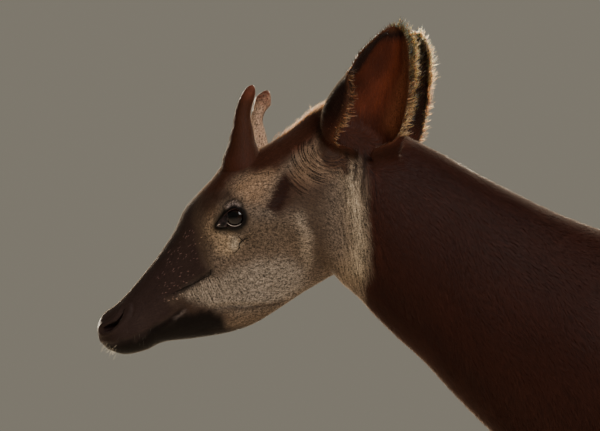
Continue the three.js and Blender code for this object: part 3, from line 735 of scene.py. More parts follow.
def ear_form(side, rows=56, columns=44):
    """An ear: its curled middle surface thickened both ways, and thin at the edge."""
    top = len(EAR_SLICES) - 1
    r, c = np.linspace(0, 1, rows + 1), np.linspace(0, 1, columns + 1)
    u, v = np.meshgrid(r * (top - 0.35), 0.02 + 0.96 * c, indexing="ij")
    middle = ear_surface(u, v, side)
    step = 1e-3
    along = ear_surface(np.minimum(u + step, top), v, side) - ear_surface(np.maximum(u - step, 0), v, side)
    across = ear_surface(u, np.minimum(v + step, 1), side) - ear_surface(u, np.maximum(v - step, 0), side)
    normal = unit(np.cross(along, across))
    edge = np.minimum(np.minimum(1, np.minimum(v, 1 - v) * 6), (top - u) / 2)
    thick = EAR_WALL["edge"] + (EAR_WALL["root"] - EAR_WALL["edge"]) * edge * (1 - 0.4 * u / top)
    thick = thick * np.clip(np.minimum(np.minimum(v, 1 - v) * 30, (top - u) * 2), 0.35, 1) ** 0.5
    one, other = (middle + normal * (share * thick)[..., None] for share in (0.5, -0.5))
    return tube(np.concatenate([one, other[:, ::-1]], axis=1))


def ball(centre, radius, rings=48, around=64):
    """A ball: rings from its front pole to its rear pole, round the way that points out of the head."""
    v, t = rows_round(np.linspace(0.02, math.pi - 0.02, rings), around)
    out = np.stack([np.sin(v) * np.cos(t), np.cos(v), np.sin(v) * np.sin(t)], axis=-1)
    return tube(np.asarray(centre, float) + out * radius)


def eye_centre(side):
    """The middle of an eye's ball."""
    return np.array([EYE["x"], side * EYE["out"], EYE["z"]])


def lid_form(side):
    """The lids: a ball round the eye's, the upper lid's fold a bell of the distance from its line."""
    points, faces = ball(eye_centre(side), EYE["radius"] + LID_THICK, 84, 120)
    far, _ = from_line(LID_FOLD, points[:, [0, 2]])
    rise = 2.4 * bell(far, 2.6) - bell(far + 4, 1.8)
    return points + rise[:, None] * unit(points - eye_centre(side)), faces


def closed_curve(corners, count):
    """A smooth closed curve through corners: the Catmull-Rom curve once round them."""
    looped = np.array(list(corners[-1:]) + list(corners) + list(corners[:2]), float)
    return through(looped, 1 + np.arange(count) / count * len(corners))


def opening_form(side, around=96):
    """The hole between the lids: the outline of the opening carried outwards, closed inside behind the
    front of the eye's ball, and rounded where it leaves the lids."""
    flat = closed_curve(LID_OPENING, around)
    reach = np.linalg.norm(flat, axis=1)
    # each ring: its share of the outline, how far it grows past it, and how far out it lies
    rows = [(share, 0, None) for share in (0.05, 0.25, 0.5, 0.75, 0.9, 1)]
    lid = EYE["radius"] + LID_THICK
    rows += [(1, 0.0, 0.2), (1, 0.15, 0.5), (1, 0.5, 0.75), (1, 1.2, 0.95), (1, 2.4, 1.08), (1, 5, 1.3)]
    rows += [(share, 5, 1.3) for share in (0.6, 0.05)]
    rings = []
    for share, grow, level in rows:
        place = flat * (share + grow / np.maximum(reach, 1))[:, None]
        far = np.linalg.norm(place, axis=1)
        inner = np.sqrt(np.clip((EYE["radius"] - 1.5) ** 2 - far**2, 0, None))
        inner = np.maximum(inner, 4)
        outer = np.maximum(np.sqrt(np.clip(lid**2 - far**2, 0, None)), 19)
        out = inner if level is None else inner + (outer - inner) * level
        rings.append(np.stack([place[:, 0], side * out, place[:, 1]], axis=1) + eye_centre(side))
    return tube(np.array(rings))


def flank_at(x, z):
    """The distance out of the trunk's skin at places seen from the side, read off the slice through them."""
    s, _ = trunk_place(np.stack([x, 0 * x, z], axis=1))
    foot, up, tall, half, level, crown, keel = slice_at(s)
    rise = np.sum((np.stack([x, z], axis=1) - foot) * up, axis=1) / tall
    upper = rise > level
    power = np.where(upper, crown, keel)
    lift = np.clip(np.where(upper, (rise - level) / (1 - level), (level - rise) / level), 0, 1)
    swell = bumps(SWELLINGS, np.stack([x, z], axis=1)) * np.minimum(1, half / 40)
    return (half + swell) * (1 - lift**power) ** (1 / power) - coat_depth(s)


def nostril_form(side):
    """The hole of a nostril: a slit that widens forward and down its line and reaches into the muzzle."""
    x, z, wide = even_run(NOSTRIL_LINE, 24).T
    out = flank_at(x, z)
    ends = np.sin(np.linspace(0.06, 0.94, len(x)) * math.pi) ** 0.4
    path = np.stack([x, side * (out - 1), z], axis=1)
    ahead = unit(np.gradient(path, axis=0))
    inward = np.array([0.35, -side * 1.0, 0.1])
    inward = unit(inward - ahead * (ahead @ inward)[:, None])
    over = np.cross(ahead, inward)
    t = angles(24)
    deep = (np.cos(t) * ((3 + 2.2 * wide) * ends)[:, None])[..., None]
    apart = (np.sin(t) * (wide * ends)[:, None])[..., None]
    return tube(path[:, None] + (inward[:, None] * deep + over[:, None] * apart))


def build_skin():
    """The skin in one closed mesh: forms joined, seams smoothed, then eyes and nostrils cut."""
    points, faces = trunk_form()
    base = part_object("skin", points, faces, TRUNK)
    steps = []
    for name, (rows, side, step) in LEGS.items():
        forms = FORELEG_FORMS if rows is FORELEG_SLICES else HINDLEG_FORMS
        steps.append((part_object(name, *leg_form(rows, side, step, forms), LEG_PARTS[name]), "UNION"))
    steps.append((part_object("tail", *tail_form(), TAIL), "UNION"))
    for side, word in SIDES:
        steps.append((part_object("ear_" + word, *ear_form(side), EAR), "UNION"))
        steps.append((part_object("lid_" + word, *lid_form(side), LID), "UNION"))
    points, faces, edges, part, kept = read_mesh(join_and_cut(base, steps))

    parts = point_parts(len(points), faces, part)
    reach = np.select([parts == LID, parts == EAR, parts == TAIL, parts > TRUNK], SEAM_REACH, 0)
    share = from_seam(points, edges, ~kept, reach)
    strength = np.select([parts == LID], [0.5], 1.0)
    points = relax(points, edges, share**1.5 * strength, 30)

    base = part_object("skin", points, faces, TRUNK)
    base.data.attributes["part"].data.foreach_set("value", part.astype(np.int32))
    steps = []
    for side, word in SIDES:
        socket = ball(eye_centre(side), EYE["radius"] + SOCKET_GAP)
        steps.append((part_object("socket_" + word, *socket, LID), "DIFFERENCE"))
        steps.append((part_object("opening_" + word, *opening_form(side), LID), "DIFFERENCE"))
        steps.append((part_object("nostril_" + word, *nostril_form(side), INSIDE), "DIFFERENCE"))
    return read_mesh(join_and_cut(base, steps))


# Colours and markings


def tint(red, green, blue):
    """A screen colour of 0 to 255 as linear light."""
    share = np.array([red, green, blue], float) / 255
    return np.where(share > 0.04045, ((share + 0.055) / 1.055) ** 2.4, share / 12.92)


CHOCOLATE = tint(49, 22, 14)
CREAM = tint(214, 200, 176)
# the lids' dark skin, also used for the painted shade in the crease above the lid's fold
LID_SKIN_AND_FOLD_SHADE = tint(12, 8, 7)
# painted highlight on the fold of the upper lid
LID_FOLD_HIGHLIGHT = tint(128, 112, 106)
FLESH = tint(74, 50, 46)
EAR_BACK = tint(34, 17, 11)
EAR_INSIDE = tint(66, 28, 14)
EAR_DARK = tint(32, 17, 12)
EAR_REAR = tint(108, 60, 38)
EAR_BOWL = tint(60, 27, 15)
EAR_EDGE = tint(96, 56, 34)
HORN_FUR = tint(60, 32, 20)
HORN_FOOT = tint(62, 32, 21)
HORN_INNER_LIT = tint(156, 130, 110)
HORN_TIP = tint(92, 48, 34)
# The ear's fringes, painted light: brightest on top where back light catches the hair, darker low down in
# shade
BACKLIT_TOP_FRINGE = tint(255, 208, 152)
BACKLIT_REAR_FRINGE = tint(230, 172, 116)
SHADED_LOW_FRINGE = tint(146, 108, 76)
FRONT_FRINGE = tint(102, 64, 44)
# pale whiskers, their colour partly painted light: bright as they shine in back light
BACKLIT_WHISKER = tint(206, 196, 176)
# dark lashes, also used for the dark hair laid in creases as painted shade
LASH_AND_CREASE_SHADE = tint(14, 11, 11)
CREST = tint(150, 104, 72)

# The head seen from the side, to where the chocolate of the neck begins
HEAD_OUTLINE = [
    (-600, 1800), (-600, 1732), (-600, 1662), (-590, 1600), (-581, 1530), (-593, 1484), (-605, 1440),
    (-700, 1380), (-1080, 1300), (-1080, 1500), (-800, 1850),
]
# The face's markings seen from the side, painted shade and highlights among them, each over those before it:
# colour, softness, strength and outline
MARKINGS = [
    ((102, 87, 75), 7, 1.0, HEAD_OUTLINE),
    ((128, 116, 105), 12, 0.95, [
        (-889, 1464), (-872, 1478), (-845, 1490), (-816, 1498), (-781, 1510), (-744, 1520), (-709, 1521),
        (-687, 1508), (-691, 1480), (-715, 1460), (-755, 1452), (-801, 1450), (-831, 1452), (-872, 1458),
    ]),
    ((126, 109, 91), 13, 0.9, [
        (-626, 1672), (-612, 1676), (-602, 1672), (-592, 1612), (-586, 1552), (-586, 1504), (-607, 1484),
        (-630, 1494), (-624, 1520), (-616, 1560), (-623, 1612), (-632, 1654),
    ]),
    ((162, 145, 124), 7, 0.7, [
        (-619, 1650), (-608, 1650), (-598, 1604), (-592, 1552), (-598, 1504), (-612, 1504), (-607, 1552),
        (-613, 1605),
    ]),
    ((74, 58, 47), 18, 0.8, [
        (-683, 1638), (-659, 1638), (-645, 1575), (-650, 1510), (-674, 1500), (-682, 1560),
    ]),
    ((150, 134, 118), 7, 0.75, [
        (-692, 1588), (-681, 1592), (-674, 1562), (-676, 1522), (-684, 1506), (-693, 1540),
    ]),
    ((88, 72, 58), 16, 0.6, [
        (-769, 1592), (-735, 1580), (-687, 1568), (-687, 1520), (-744, 1526), (-778, 1520), (-799, 1520),
        (-772, 1544),
    ]),
    ((160, 137, 112), 11, 0.85, [
        (-836, 1578), (-822, 1582), (-808, 1566), (-786, 1556), (-775, 1550), (-781, 1536), (-796, 1530),
        (-816, 1538), (-832, 1554),
    ]),
    ((112, 90, 72), 8, 0.8, [(-831, 1604), (-814, 1605), (-808, 1592), (-818, 1580), (-834, 1581)]),
    ((130, 104, 82), 14, 0.95, [
        (-795, 1624), (-784, 1641), (-763, 1656), (-735, 1665), (-711, 1660), (-719, 1642), (-732, 1624),
        (-744, 1606), (-763, 1604), (-778, 1614),
    ]),
    # painted shade: a soft darker patch behind the temple, towards the ear
    ((72, 53, 42), 16, 0.7, [(-706, 1652), (-664, 1668), (-640, 1640), (-652, 1600), (-690, 1596)]),
    ((66, 44, 33), 11, 0.85, [
        (-730, 1600), (-712, 1640), (-688, 1654), (-678, 1630), (-692, 1598), (-714, 1584),
    ]),
    ((40, 16, 7), 4, 0.95, [
        (-741, 1598), (-734, 1608), (-726, 1619), (-718.5, 1633.7), (-708, 1646), (-697, 1648), (-700, 1625),
        (-707.8, 1605), (-718.5, 1593), (-734, 1593.5),
    ]),
    ((98, 78, 62), 14, 0.9, [
        (-696, 1646), (-687, 1688), (-659, 1702), (-626, 1688), (-616, 1654), (-641, 1640), (-671, 1634),
    ]),
    # painted shadow of the ear under its lower edge
    ((54, 32, 19), 6, 0.95, [
        (-659, 1694), (-592, 1694), (-592, 1674), (-610, 1667), (-624, 1650), (-650, 1655),
    ]),
    # painted shade on the roll at the ear's root
    ((68, 42, 29), 9, 0.8, [
        (-662, 1720), (-641, 1736), (-616, 1720), (-607, 1694), (-632, 1684), (-656, 1694),
    ]),
    ((92, 76, 62), 11, 0.8, [
        (-816, 1444), (-763, 1446), (-723, 1455), (-687, 1474), (-659, 1486), (-653, 1474), (-702, 1444),
        (-750, 1422), (-801, 1412), (-821, 1418),
    ]),
    ((64, 32, 20), 12, 0.96, [
        (-869, 1605), (-842, 1611), (-814, 1610), (-800, 1626), (-788, 1645), (-770, 1656), (-742, 1655),
        (-718, 1657), (-698, 1678), (-659, 1706), (-653, 1822), (-854, 1852), (-915, 1612),
    ]),
    ((66, 50, 40), 20, 0.85, [
        (-860, 1628), (-824, 1612), (-820, 1560), (-822, 1505), (-862, 1480), (-900, 1450), (-1067, 1300),
    ]),
    ((50, 36, 33), 9, 0.97, [
        (-868, 1628), (-851, 1612), (-853, 1592), (-849, 1566), (-844, 1540), (-834, 1518), (-826, 1503),
        (-852, 1487), (-878, 1473), (-893, 1462), (-888, 1455), (-860, 1452), (-830, 1447), (-818, 1437),
        (-818, 1412), (-816, 1372), (-1067, 1282), (-1067, 1462),
    ]),
    # painted highlight on the lump beside the crease under the eye
    ((172, 158, 141), 4, 0.75, [
        (-792, 1549), (-780, 1554), (-774, 1549), (-779, 1541), (-787, 1535), (-795, 1540),
    ]),
    ((60, 44, 36), 10, 0.9, [
        (-890, 1464), (-872, 1468), (-846, 1458), (-814, 1447), (-806, 1436), (-850, 1436), (-888, 1444),
    ]),
    ((58, 30, 19), 11, 0.85, [
        (-815, 1668), (-745, 1676), (-722, 1664), (-742, 1656), (-776, 1652), (-806, 1648),
    ]),
    # the lower jaw near black: its dark skin, painted darker still as shade on its underside
    ((10, 4, 3), 6, 0.97, [
        (-990, 1378), (-1014, 1386), (-974, 1394), (-932, 1406), (-905, 1422), (-876, 1440), (-846, 1446),
        (-820, 1447), (-815, 1443), (-806, 1400), (-870, 1380), (-950, 1360),
    ]),
    ((28, 17, 11), 7, 0.9, [(-830, 1420), (-790, 1424), (-752, 1432), (-752, 1400), (-830, 1380)]),
    ((50, 28, 20), 9, 0.7, [
        (-842, 1610), (-819, 1619), (-801, 1623), (-788, 1617), (-781, 1610), (-797, 1606), (-808, 1598),
        (-824, 1592), (-838, 1596),
    ]),
    ((60, 27, 15), 6, 0.97, [
        (-656, 1702), (-640, 1760), (-500, 1760), (-519, 1702), (-540, 1686), (-577, 1679), (-608, 1677),
        (-640, 1684),
    ]),
]
# Thin lines on the face seen from the side, painted shade in creases and a painted highlight among them: the
# line, its half width, its strength and its colour
LINES = [
    # a dark line along the jaw's edge: its own darker colour and painted shade in its crease
    ([(-829, 1449), (-781, 1449), (-739, 1455), (-717, 1462)], 3.2, 0.7, (50, 36, 28)),
    # a painted highlight: the pale edge of the fold at the corner of the mouth
    ([(-889, 1432), (-876, 1439), (-866, 1448)], 1.7, 0.6, (112, 98, 92)),
    ([(-612, 1690), (-615, 1670), (-621, 1640)], 3.0, 1.0, (34, 18, 10)),
    ([(-600, 1690), (-602, 1665), (-606, 1630)], 3.0, 1.0, (30, 16, 9)),
    ([(-591, 1690), (-593, 1655), (-596, 1600)], 3.0, 0.9, (34, 18, 10)),
    # the cheek's crease: painted shade along the edge of the dark muzzle
    ([(-882, 1471), (-866, 1479), (-854, 1485), (-829, 1500), (-818, 1508)], 3.0, 0.9, (26, 18, 16)),
]
# Sharp creases, each a line that dark hair lies along as painted shade, with how much hair
HAIR_LINES = [
    ([(-789, 1531.5), (-785, 1533), (-779, 1539), (-778, 1544.5), (-772, 1550.5), (-763, 1554)], 260),
    ([(-778, 1557), (-775, 1554), (-772, 1550.5)], 50),
    ([(-886, 1470), (-866, 1480), (-854, 1485), (-838, 1493), (-825, 1500), (-824, 1505)], 260),
]
# The part of the muzzle with bright flecks that are painted glints, and the fan of striped hair under the
# ear
SPECKS = [
    (-920, 1490), (-900, 1540), (-868, 1572), (-838, 1575), (-832, 1545), (-842, 1505), (-880, 1450),
    (-905, 1450),
]
BRINDLE = [
    (-712, 1640), (-700, 1690), (-662, 1712), (-626, 1696), (-618, 1680), (-622, 1655), (-650, 1632),
    (-684, 1614),
]
EAR_ROOT = (-640, 1692)  # the middle of the arcs of striped hair under the ear
# Patches of the face where the hair lies its own straight way, to the rear and up: the cheek and the throat
CHEEK = [(-884, 1470), (-852, 1490), (-800, 1510), (-770, 1500), (-776, 1456), (-830, 1448)]
THROAT = [(-622, 1690), (-570, 1690), (-562, 1600), (-560, 1520), (-590, 1470), (-640, 1480), (-628, 1600)]
PATCHES = [(CHEEK, (0.4, -0.92)), (THROAT, (0.12, -0.99))]


def inside(outline, side):
    """How far places lie inside a closed outline (+) or outside it (-), seen from the side."""
    corners = np.asarray(outline, float)
    far = np.full(side.shape[:-1], np.inf)
    odd = np.zeros(far.shape, bool)
    for start, end in zip(corners, np.roll(corners, -1, axis=0)):
        run = end - start
        t = np.clip(((side - start) @ run) / (run @ run), 0, 1)
        far = np.minimum(far, np.linalg.norm(side - start - t[..., None] * run, axis=-1))
        crosses = (start[1] > side[..., 1]) != (end[1] > side[..., 1])
        at = start[0] + (side[..., 1] - start[1]) * run[0] / (run[1] if run[1] else 1e-9)
        odd ^= crosses & (side[..., 0] < at)
    return np.where(odd, far, -far)


def waver(points, long, seed):
    """A smooth wandering number from -1 to 1: five sine waves of a given length in drawn directions."""
    rng = np.random.default_rng(seed)
    ways = rng.normal(size=(5, 3)) * 2 * math.pi / long / 1.7
    return np.mean(np.sin(points @ ways.T + rng.uniform(0, 2 * math.pi, 5)), axis=-1) * 1.6


def ear_place(points):
    """Where points of an ear lie: the share from its rear to its front edge, and if on its inside."""
    heights = [row[0] for row in EAR_SLICES]
    u = np.interp(points[:, 2], heights, np.arange(len(heights)))
    _, front_x, rear_x, out, deep, curl_rear, curl_front = np.moveaxis(through(EAR_SLICES, u), -1, 0)
    along = (points[:, 0] - (front_x + rear_x) / 2) / np.maximum((rear_x - front_x) / 2, 1)
    inward = (out - np.abs(points[:, 1])) / np.maximum(deep, 1)
    angle = (np.degrees(np.arctan2(inward, along)) + 100) % 360 - 100
    v = np.clip((angle + curl_rear) / (180 + curl_rear + curl_front), 0, 1)
    return v, np.hypot(along, inward) < 1


def leg_place(points, rows, step):
    """Where points of a leg lie: the angle from its rear towards the outside, in degrees."""
    row = through(rows, np.interp(-points[:, 2], [-r[0] for r in rows], np.arange(len(rows))))
    behind = points[:, 0] - row[:, 1] - step_at(points[:, 2], step)
    outward_by = np.abs(points[:, 1]) - row[:, 2]
    return np.degrees(np.arctan2(outward_by, behind))


def in_opening(points):
    """How far points lie inside the opening between the lids (+) or outside it (-)."""
    return inside(LID_OPENING, points[:, [0, 2]] - [EYE["x"], EYE["z"]])


# The front ends of the stripes on rump and thighs: heights, and the x where they end
STRIPE_ENDS = ([620, 760, 900, 1050, 1200, 1340], [700, 740, 705, 690, 725, 800])
# A stocking's top and the half width of the dark line down its front in degrees, fore and hind
FORE_STOCKING, HIND_STOCKING = (440, 26), (470, 18)
FETLOCK_RING, CORONET_RING = (168, 15), (88, 12)  # the height and half width of a leg's dark rings
NO_CREAM = -2.0


def cream_share(points, part):
    """The cream stripes and stockings, over 0 where the coat is cream and rising by 1 in about 8 mm. A
    stripe is a wave of the height, sloped up to the rear, cut higher towards its front end so that it
    tapers; a stocking is cut by the dark line down its front and the dark rings of fetlock and coronet."""
    x, z = points[:, 0], points[:, 2]
    wander = waver(points, 130, 3) * 9 + waver(points, 46, 4) * 3
    slope = 0.12 + 0.3 * fade(800, 1150, z)
    wave = np.cos(2 * math.pi * (z - slope * (x - 840) + wander) / (40 + 10 * fade(700, 1200, z)))
    front = np.interp(z, *STRIPE_ENDS) + 14 * waver(points, 60, 5)
    cut = -0.25 + 1.3 * fade(130, 0, x - front) + 2 * fade(10, -25, x - front)
    cut += 2 * fade(1300, 1350, z) + 2 * fade(690, 640, z)
    value = np.where(x > 560, wave - cut, NO_CREAM)
    for name, (rows, _, step) in LEGS.items():
        mine = part == LEG_PARTS[name]
        if not mine.any():
            continue
        here, limb = points[mine], value[mine]
        height = here[:, 2]
        angle = leg_place(here, rows, step)
        is_fore = rows is FORELEG_SLICES
        top, dark_line = FORE_STOCKING if is_fore else HIND_STOCKING
        stocking = (top - height + 10 * np.cos(np.radians(angle)) + 5 * waver(here, 40, 6)) / 14
        stocking = np.minimum(stocking, 1.3)
        stocking -= 2.6 * bell(np.abs(angle) - 180, dark_line) * fade(150, 210, height)
        for level, wide in (FETLOCK_RING, CORONET_RING):
            stocking -= 3 * bell(height - level, wide)
        if is_fore:
            bar = np.cos(2 * math.pi * (height - 0.12 * here[:, 0] + wander[mine]) / 52)
            bar -= -0.1 + 1.6 * fade(120, 175, np.abs(angle))
            bar -= 2 * fade(930, 985, height) + 2 * fade(610, 570, height)
            limb = np.maximum(limb, bar)
        value[mine] = np.maximum(limb, stocking)
    return np.where(part == TAIL, NO_CREAM, value)


def face_colour(colour, side, flat):
    """The markings of the face and its thin lines, painted over a colour one after another."""
    for paint, soft, strength, outline in MARKINGS:
        colour = toward(colour, fade(-soft, soft, inside(outline, side)) * strength, tint(*paint))
    for line, wide, strength, paint in LINES:
        far, share = from_line(line, flat)
        share = strength * bell(far, wide) * np.clip(5 * np.minimum(share, 1 - share), 0, 1)
        colour = toward(colour, share, tint(*paint))
    return colour


def ossicone_colour(points):
    """The fur of an ossicone: redder at its foot, painted pale on its inner side as the light that face
    catches, with its bare tip.
    """
    z = points[:, 2]
    axis = np.interp(z, [row[2] for row in OSSICONE_PATH], [row[1] for row in OSSICONE_PATH])
    # the inner face, painted lighter as light falling on it
    inner = fade(2, -6, np.abs(points[:, 1]) - axis) * fade(1668, 1700, z)
    tip = fade(1750, 1772, z) * (0.75 + 0.25 * waver(points, 9, 9))
    colour = toward(HORN_FUR, fade(1700, 1664, z), HORN_FOOT)
    return toward(toward(colour, inner, HORN_INNER_LIT), tip, HORN_TIP)


def ear_colour(points):
    """The fur of an ear: inside brown over a plain bowl, with a glow of painted light where light shines
    through the thin upper ear, a tan rear strip and a dark top and front; its dark back; and its edge."""
    z = points[:, 2]
    v, within = ear_place(points)
    rim = np.clip(fade(0.05, 0, v) + fade(0.95, 1, v) + fade(1852, 1860, z), 0, 1)
    rear = fade(0.3, 0.18, v - 0.05 * fade(1760, 1710, z))
    dark = np.clip(fade(1838, 1852, z) + fade(0.72, 0.8, v) * fade(1770, 1800, z), 0, 1)
    # painted light: a glow where light shines through the thin upper ear, none in the bowl below
    painted_glow = 1 + 1.1 * bell(v - 0.36, 0.1) * fade(1720, 1760, z) + 0.18 * waver(points, 26, 11)
    inner = EAR_INSIDE * painted_glow[:, None] + fade(1750, 1704, z)[:, None] * (EAR_BOWL - EAR_INSIDE)
    inner = toward(toward(inner, rear, EAR_REAR), dark, EAR_DARK)
    back = toward(EAR_BACK, fade(1740, 1700, z), 1.4 * CHOCOLATE)
    return toward(np.where(within[:, None], inner, back), 0.6 * rim, EAR_EDGE)


def pelt(points, part, s):
    """The colour of skin and coat at points, and how bare it is: the body's brown, with the face's markings
    over it, among them painted shade and highlights, the lids, lips and nostrils, the ossicones and the
    ears. Skin and tufts both read it."""
    flat = points[:, [0, 2]]
    side = flat + np.stack([waver(points, 50, 1), waver(points, 50, 2)], axis=1) * 4
    side += np.stack([waver(points, 14, 7), waver(points, 14, 8)], axis=1) * 2
    colour = np.repeat(CHOCOLATE[None], len(points), axis=0)
    low_ear = (part == EAR) * fade(1694, 1682, points[:, 2])
    trunk = on_trunk(part)
    face = (trunk & (s < HEAD_END + 2)) | (low_ear > 0)
    colour[face] = face_colour(colour[face], side[face], flat[face])

    near_eye = (part == LID) | face
    edge = in_opening(points)
    lid = bell(np.clip(-edge - 4, 0, None), 5) * near_eye
    fold, _ = from_line(LID_FOLD, flat)
    colour = toward(colour, lid, LID_SKIN_AND_FOLD_SHADE)
    # painted shade: a dark line in the crease above the lid's fold
    colour = toward(colour, 0.85 * bell(fold - 5.5, 1.9) * near_eye, LID_SKIN_AND_FOLD_SHADE)
    # a painted highlight along the fold of the upper lid
    colour = toward(colour, 0.85 * bell(fold, 2.4) * near_eye, LID_FOLD_HIGHLIGHT)
    # the lid's inner wall round the opening: flesh darkened to half, painted shade in the gap by the ball
    colour[(part == LID) & (edge > -1.0)] = FLESH * 0.5

    near_mouth, _ = from_line(MOUTH_LINE, flat)
    lips = face * bell(near_mouth, 4) * (points[:, 0] < LIPS_END)
    snout = trunk * fade(3.4, 1.2, s)
    bare = np.clip(lid + snout + 0.8 * lips + (part == INSIDE), 0, 1)
    colour *= 1 - 0.45 * lips[:, None]
    # inside the nostrils: flesh darkened to a quarter, painted shade in the holes
    colour[part == INSIDE] = FLESH * 0.25

    horn, ear = part == OSSICONE, part == EAR
    colour[horn] = ossicone_colour(points[horn])
    bare[horn] = 0.5 * fade(1752, 1770, points[horn, 2])
    if ear.any():
        colour[ear] = toward(colour[ear], 1 - low_ear[ear], ear_colour(points[ear]))
    return colour, bare


# The materials


class Wire:
    """A socket of a finish's nodes. Sums and products of wires and numbers add Math nodes."""

    def __init__(self, finish, socket):
        self.finish = finish
        self.socket = socket

    def math(self, operation, first, second):
        return self.finish.node("ShaderNodeMath", {"operation": operation}, {0: first, 1: second})

    def __add__(self, other):
        return self.math("ADD", self, other)

    def __sub__(self, other):
        return self.math("SUBTRACT", self, other)

    def __rsub__(self, other):
        return self.math("SUBTRACT", other, self)

    def __mul__(self, other):
        return self.math("MULTIPLY", self, other)

    def __pow__(self, other):
        return self.math("POWER", self, other)

    __radd__ = __add__
    __rmul__ = __mul__


class Finish:
    """A material, with one method that adds its nodes and short names for the nodes it uses most."""

    def __init__(self, name, **constants):
        self.material = bpy.data.materials.new(name)
        self.material.use_nodes = True
        self.tree = self.material.node_tree
        self.shader = self.tree.nodes["Principled BSDF"]
        for socket, value in constants.items():
            self.shader.inputs[socket.replace("_", " ")].default_value = value

    def set(self, node, key, value):
        if isinstance(value, Wire):
            self.tree.links.new(value.socket, node.inputs[key])
        else:
            node.inputs[key].default_value = value

    def node(self, kind, settings, sockets, out=0):
        """Adds a node with its settings and the values or links of its sockets, and gives one output."""
        made = self.tree.nodes.new(kind)
        for key, value in settings.items():
            setattr(made, key, value)
        for key, value in sockets.items():
            self.set(made, key, value)
        return Wire(self, made.outputs[out])

    def shade(self, **sockets):
        for key, value in sockets.items():
            self.set(self.shader, key.replace("_", " "), value)

    def value(self, name):
        return self.node("ShaderNodeAttribute", {"attribute_name": name}, {}, 2)

    def colour(self, name):
        return self.node("ShaderNodeAttribute", {"attribute_name": name}, {}, 0)

    def place(self):
        return self.node("ShaderNodeTexCoord", {}, {}, 3)

    def stretched(self, vector, factors):
        return self.node("ShaderNodeVectorMath", {"operation": "MULTIPLY"}, {0: vector, 1: factors})

    def noise(self, vector, scale, detail=2.0):
        return self.node("ShaderNodeTexNoise", {}, {"Vector": vector, "Scale": scale, "Detail": detail})

    def cells(self, vector, scale):
        return self.node("ShaderNodeTexVoronoi", {}, {"Vector": vector, "Scale": scale})

    def step(self, value, low, high):
        settings = {"interpolation_type": "SMOOTHSTEP"}
        return self.node("ShaderNodeMapRange", settings, {0: value, 1: low, 2: high})

    def mix(self, share, first, second):
        return self.node("ShaderNodeMix", {"data_type": "RGBA"}, {0: share, 6: first, 7: second}, 2)

    def scaled(self, colour, factor):
        return self.node("ShaderNodeVectorMath", {"operation": "SCALE"}, {0: colour, 3: factor})

    def bump(self, height, strength, distance):
        sockets = {"Strength": strength, "Distance": distance, "Height": height}
        return self.node("ShaderNodeBump", {}, sockets)


def rgba(colour):
    """A linear colour with full cover."""
    return (*(float(c) for c in colour), 1.0)


def fur_colour(finish):
    """The colour of the coat: its pelt streaked along the comb of the hair, pale fur grizzled with dark
    hairs, the fan under the ear striped, and the cream marks cut sharp."""
    comb, pelt = finish.colour("comb"), finish.colour("pelt")
    streak = finish.noise(finish.stretched(comb, (0.35, 0.022, 1.0)), 1.0, 3.0)
    fleck = finish.noise(finish.stretched(comb, (0.36, 0.24, 1.0)), 1.0, 2.0)
    lock = finish.noise(finish.stretched(comb, (0.46, 0.02, 1.0)), 1.0, 1.0)
    patch = finish.noise(finish.stretched(comb, (0.02, 0.008, 1.0)), 1.0, 2.0)
    pale = finish.step(finish.node("ShaderNodeRGBToBW", {}, {0: pelt}), 0.03, 0.1) * 0.9 + 0.12
    grain = finish.noise(finish.place(), 430.0, 1.0)
    hairs = (finish.step(fleck, 0.36, 0.62) - 0.5) * 0.7
    grizzle = (hairs + (finish.step(grain, 0.3, 0.7) - 0.5) * 0.95) * pale
    stripes = (finish.step(lock, 0.36, 0.6) - 0.45) * finish.value("brindle") * 1.5
    edge = finish.value("stripe") + (streak - 0.5) * 1.3
    cream = finish.mix(patch, rgba(CREAM * 0.82), rgba(CREAM))
    marked = finish.scaled(pelt, grizzle + stripes + 1.0)
    coat = finish.mix(finish.step(edge, -0.3, 0.3), marked, cream)
    return finish.scaled(coat, 0.45 + streak * 0.6 + patch * 0.5), streak


def skin_finish():
    """Short flat fur over skin: streaks of hair as bump, and pebbled leather where the skin is bare."""
    finish = Finish("short_fur", Sheen_Weight=0.12, Sheen_Roughness=0.2, Specular_IOR_Level=0.1)
    colour, streak = fur_colour(finish)
    bare = finish.value("bare")
    place = finish.place()
    hair = finish.noise(finish.stretched(finish.colour("comb"), (1.1, 0.09, 1.0)), 1.0, 3.0)
    pebble = finish.cells(place, 700.0)
    height = hair * (1 - bare) + pebble * bare * 0.5
    finish.shade(
        Base_Color=colour,
        Roughness=0.66 - bare * 0.05 + (streak - 0.5) * 0.2,
        Normal=finish.bump(height, 0.55, 0.0012),
    )
    return finish.material


def coat_finish(name, glow):
    """The tufts: the pelt's colour at each root, lighter towards the tip. glow is the share of the light
    that passes through them."""
    finish = Finish(
        name,
        Sheen_Weight=0.1, Sheen_Roughness=0.4, Sheen_Tint=(1.0, 0.82, 0.62, 1.0), Specular_IOR_Level=0.13,
        Subsurface_Weight=glow, Subsurface_Radius=(1.0, 0.6, 0.35), Subsurface_Scale=0.002,
    )
    colour, streak = fur_colour(finish)
    shade = finish.value("shade")
    finish.shade(Base_Color=finish.scaled(colour, shade), Roughness=0.56 + (streak - 0.5) * 0.2)
    return finish.material


# The skin in place, and what the coat reads off it

skin_points, skin_faces, skin_edges, skin_part, _ = build_skin()
point_part = point_parts(len(skin_points), skin_faces, skin_part)


def point_normals(points, faces):
    """The normals of a mesh's points, the sum of their faces' normals by area, and the faces' areas."""
    square = np.cross(points[faces[:, 1]] - points[faces[:, 0]], points[faces[:, 2]] - points[faces[:, 0]])
    total = np.stack([
        np.bincount(faces.ravel(), np.repeat(square[:, k], 3), len(points)) for k in range(3)
    ], axis=1)
    return unit(total), np.linalg.norm(square, axis=1) / 2


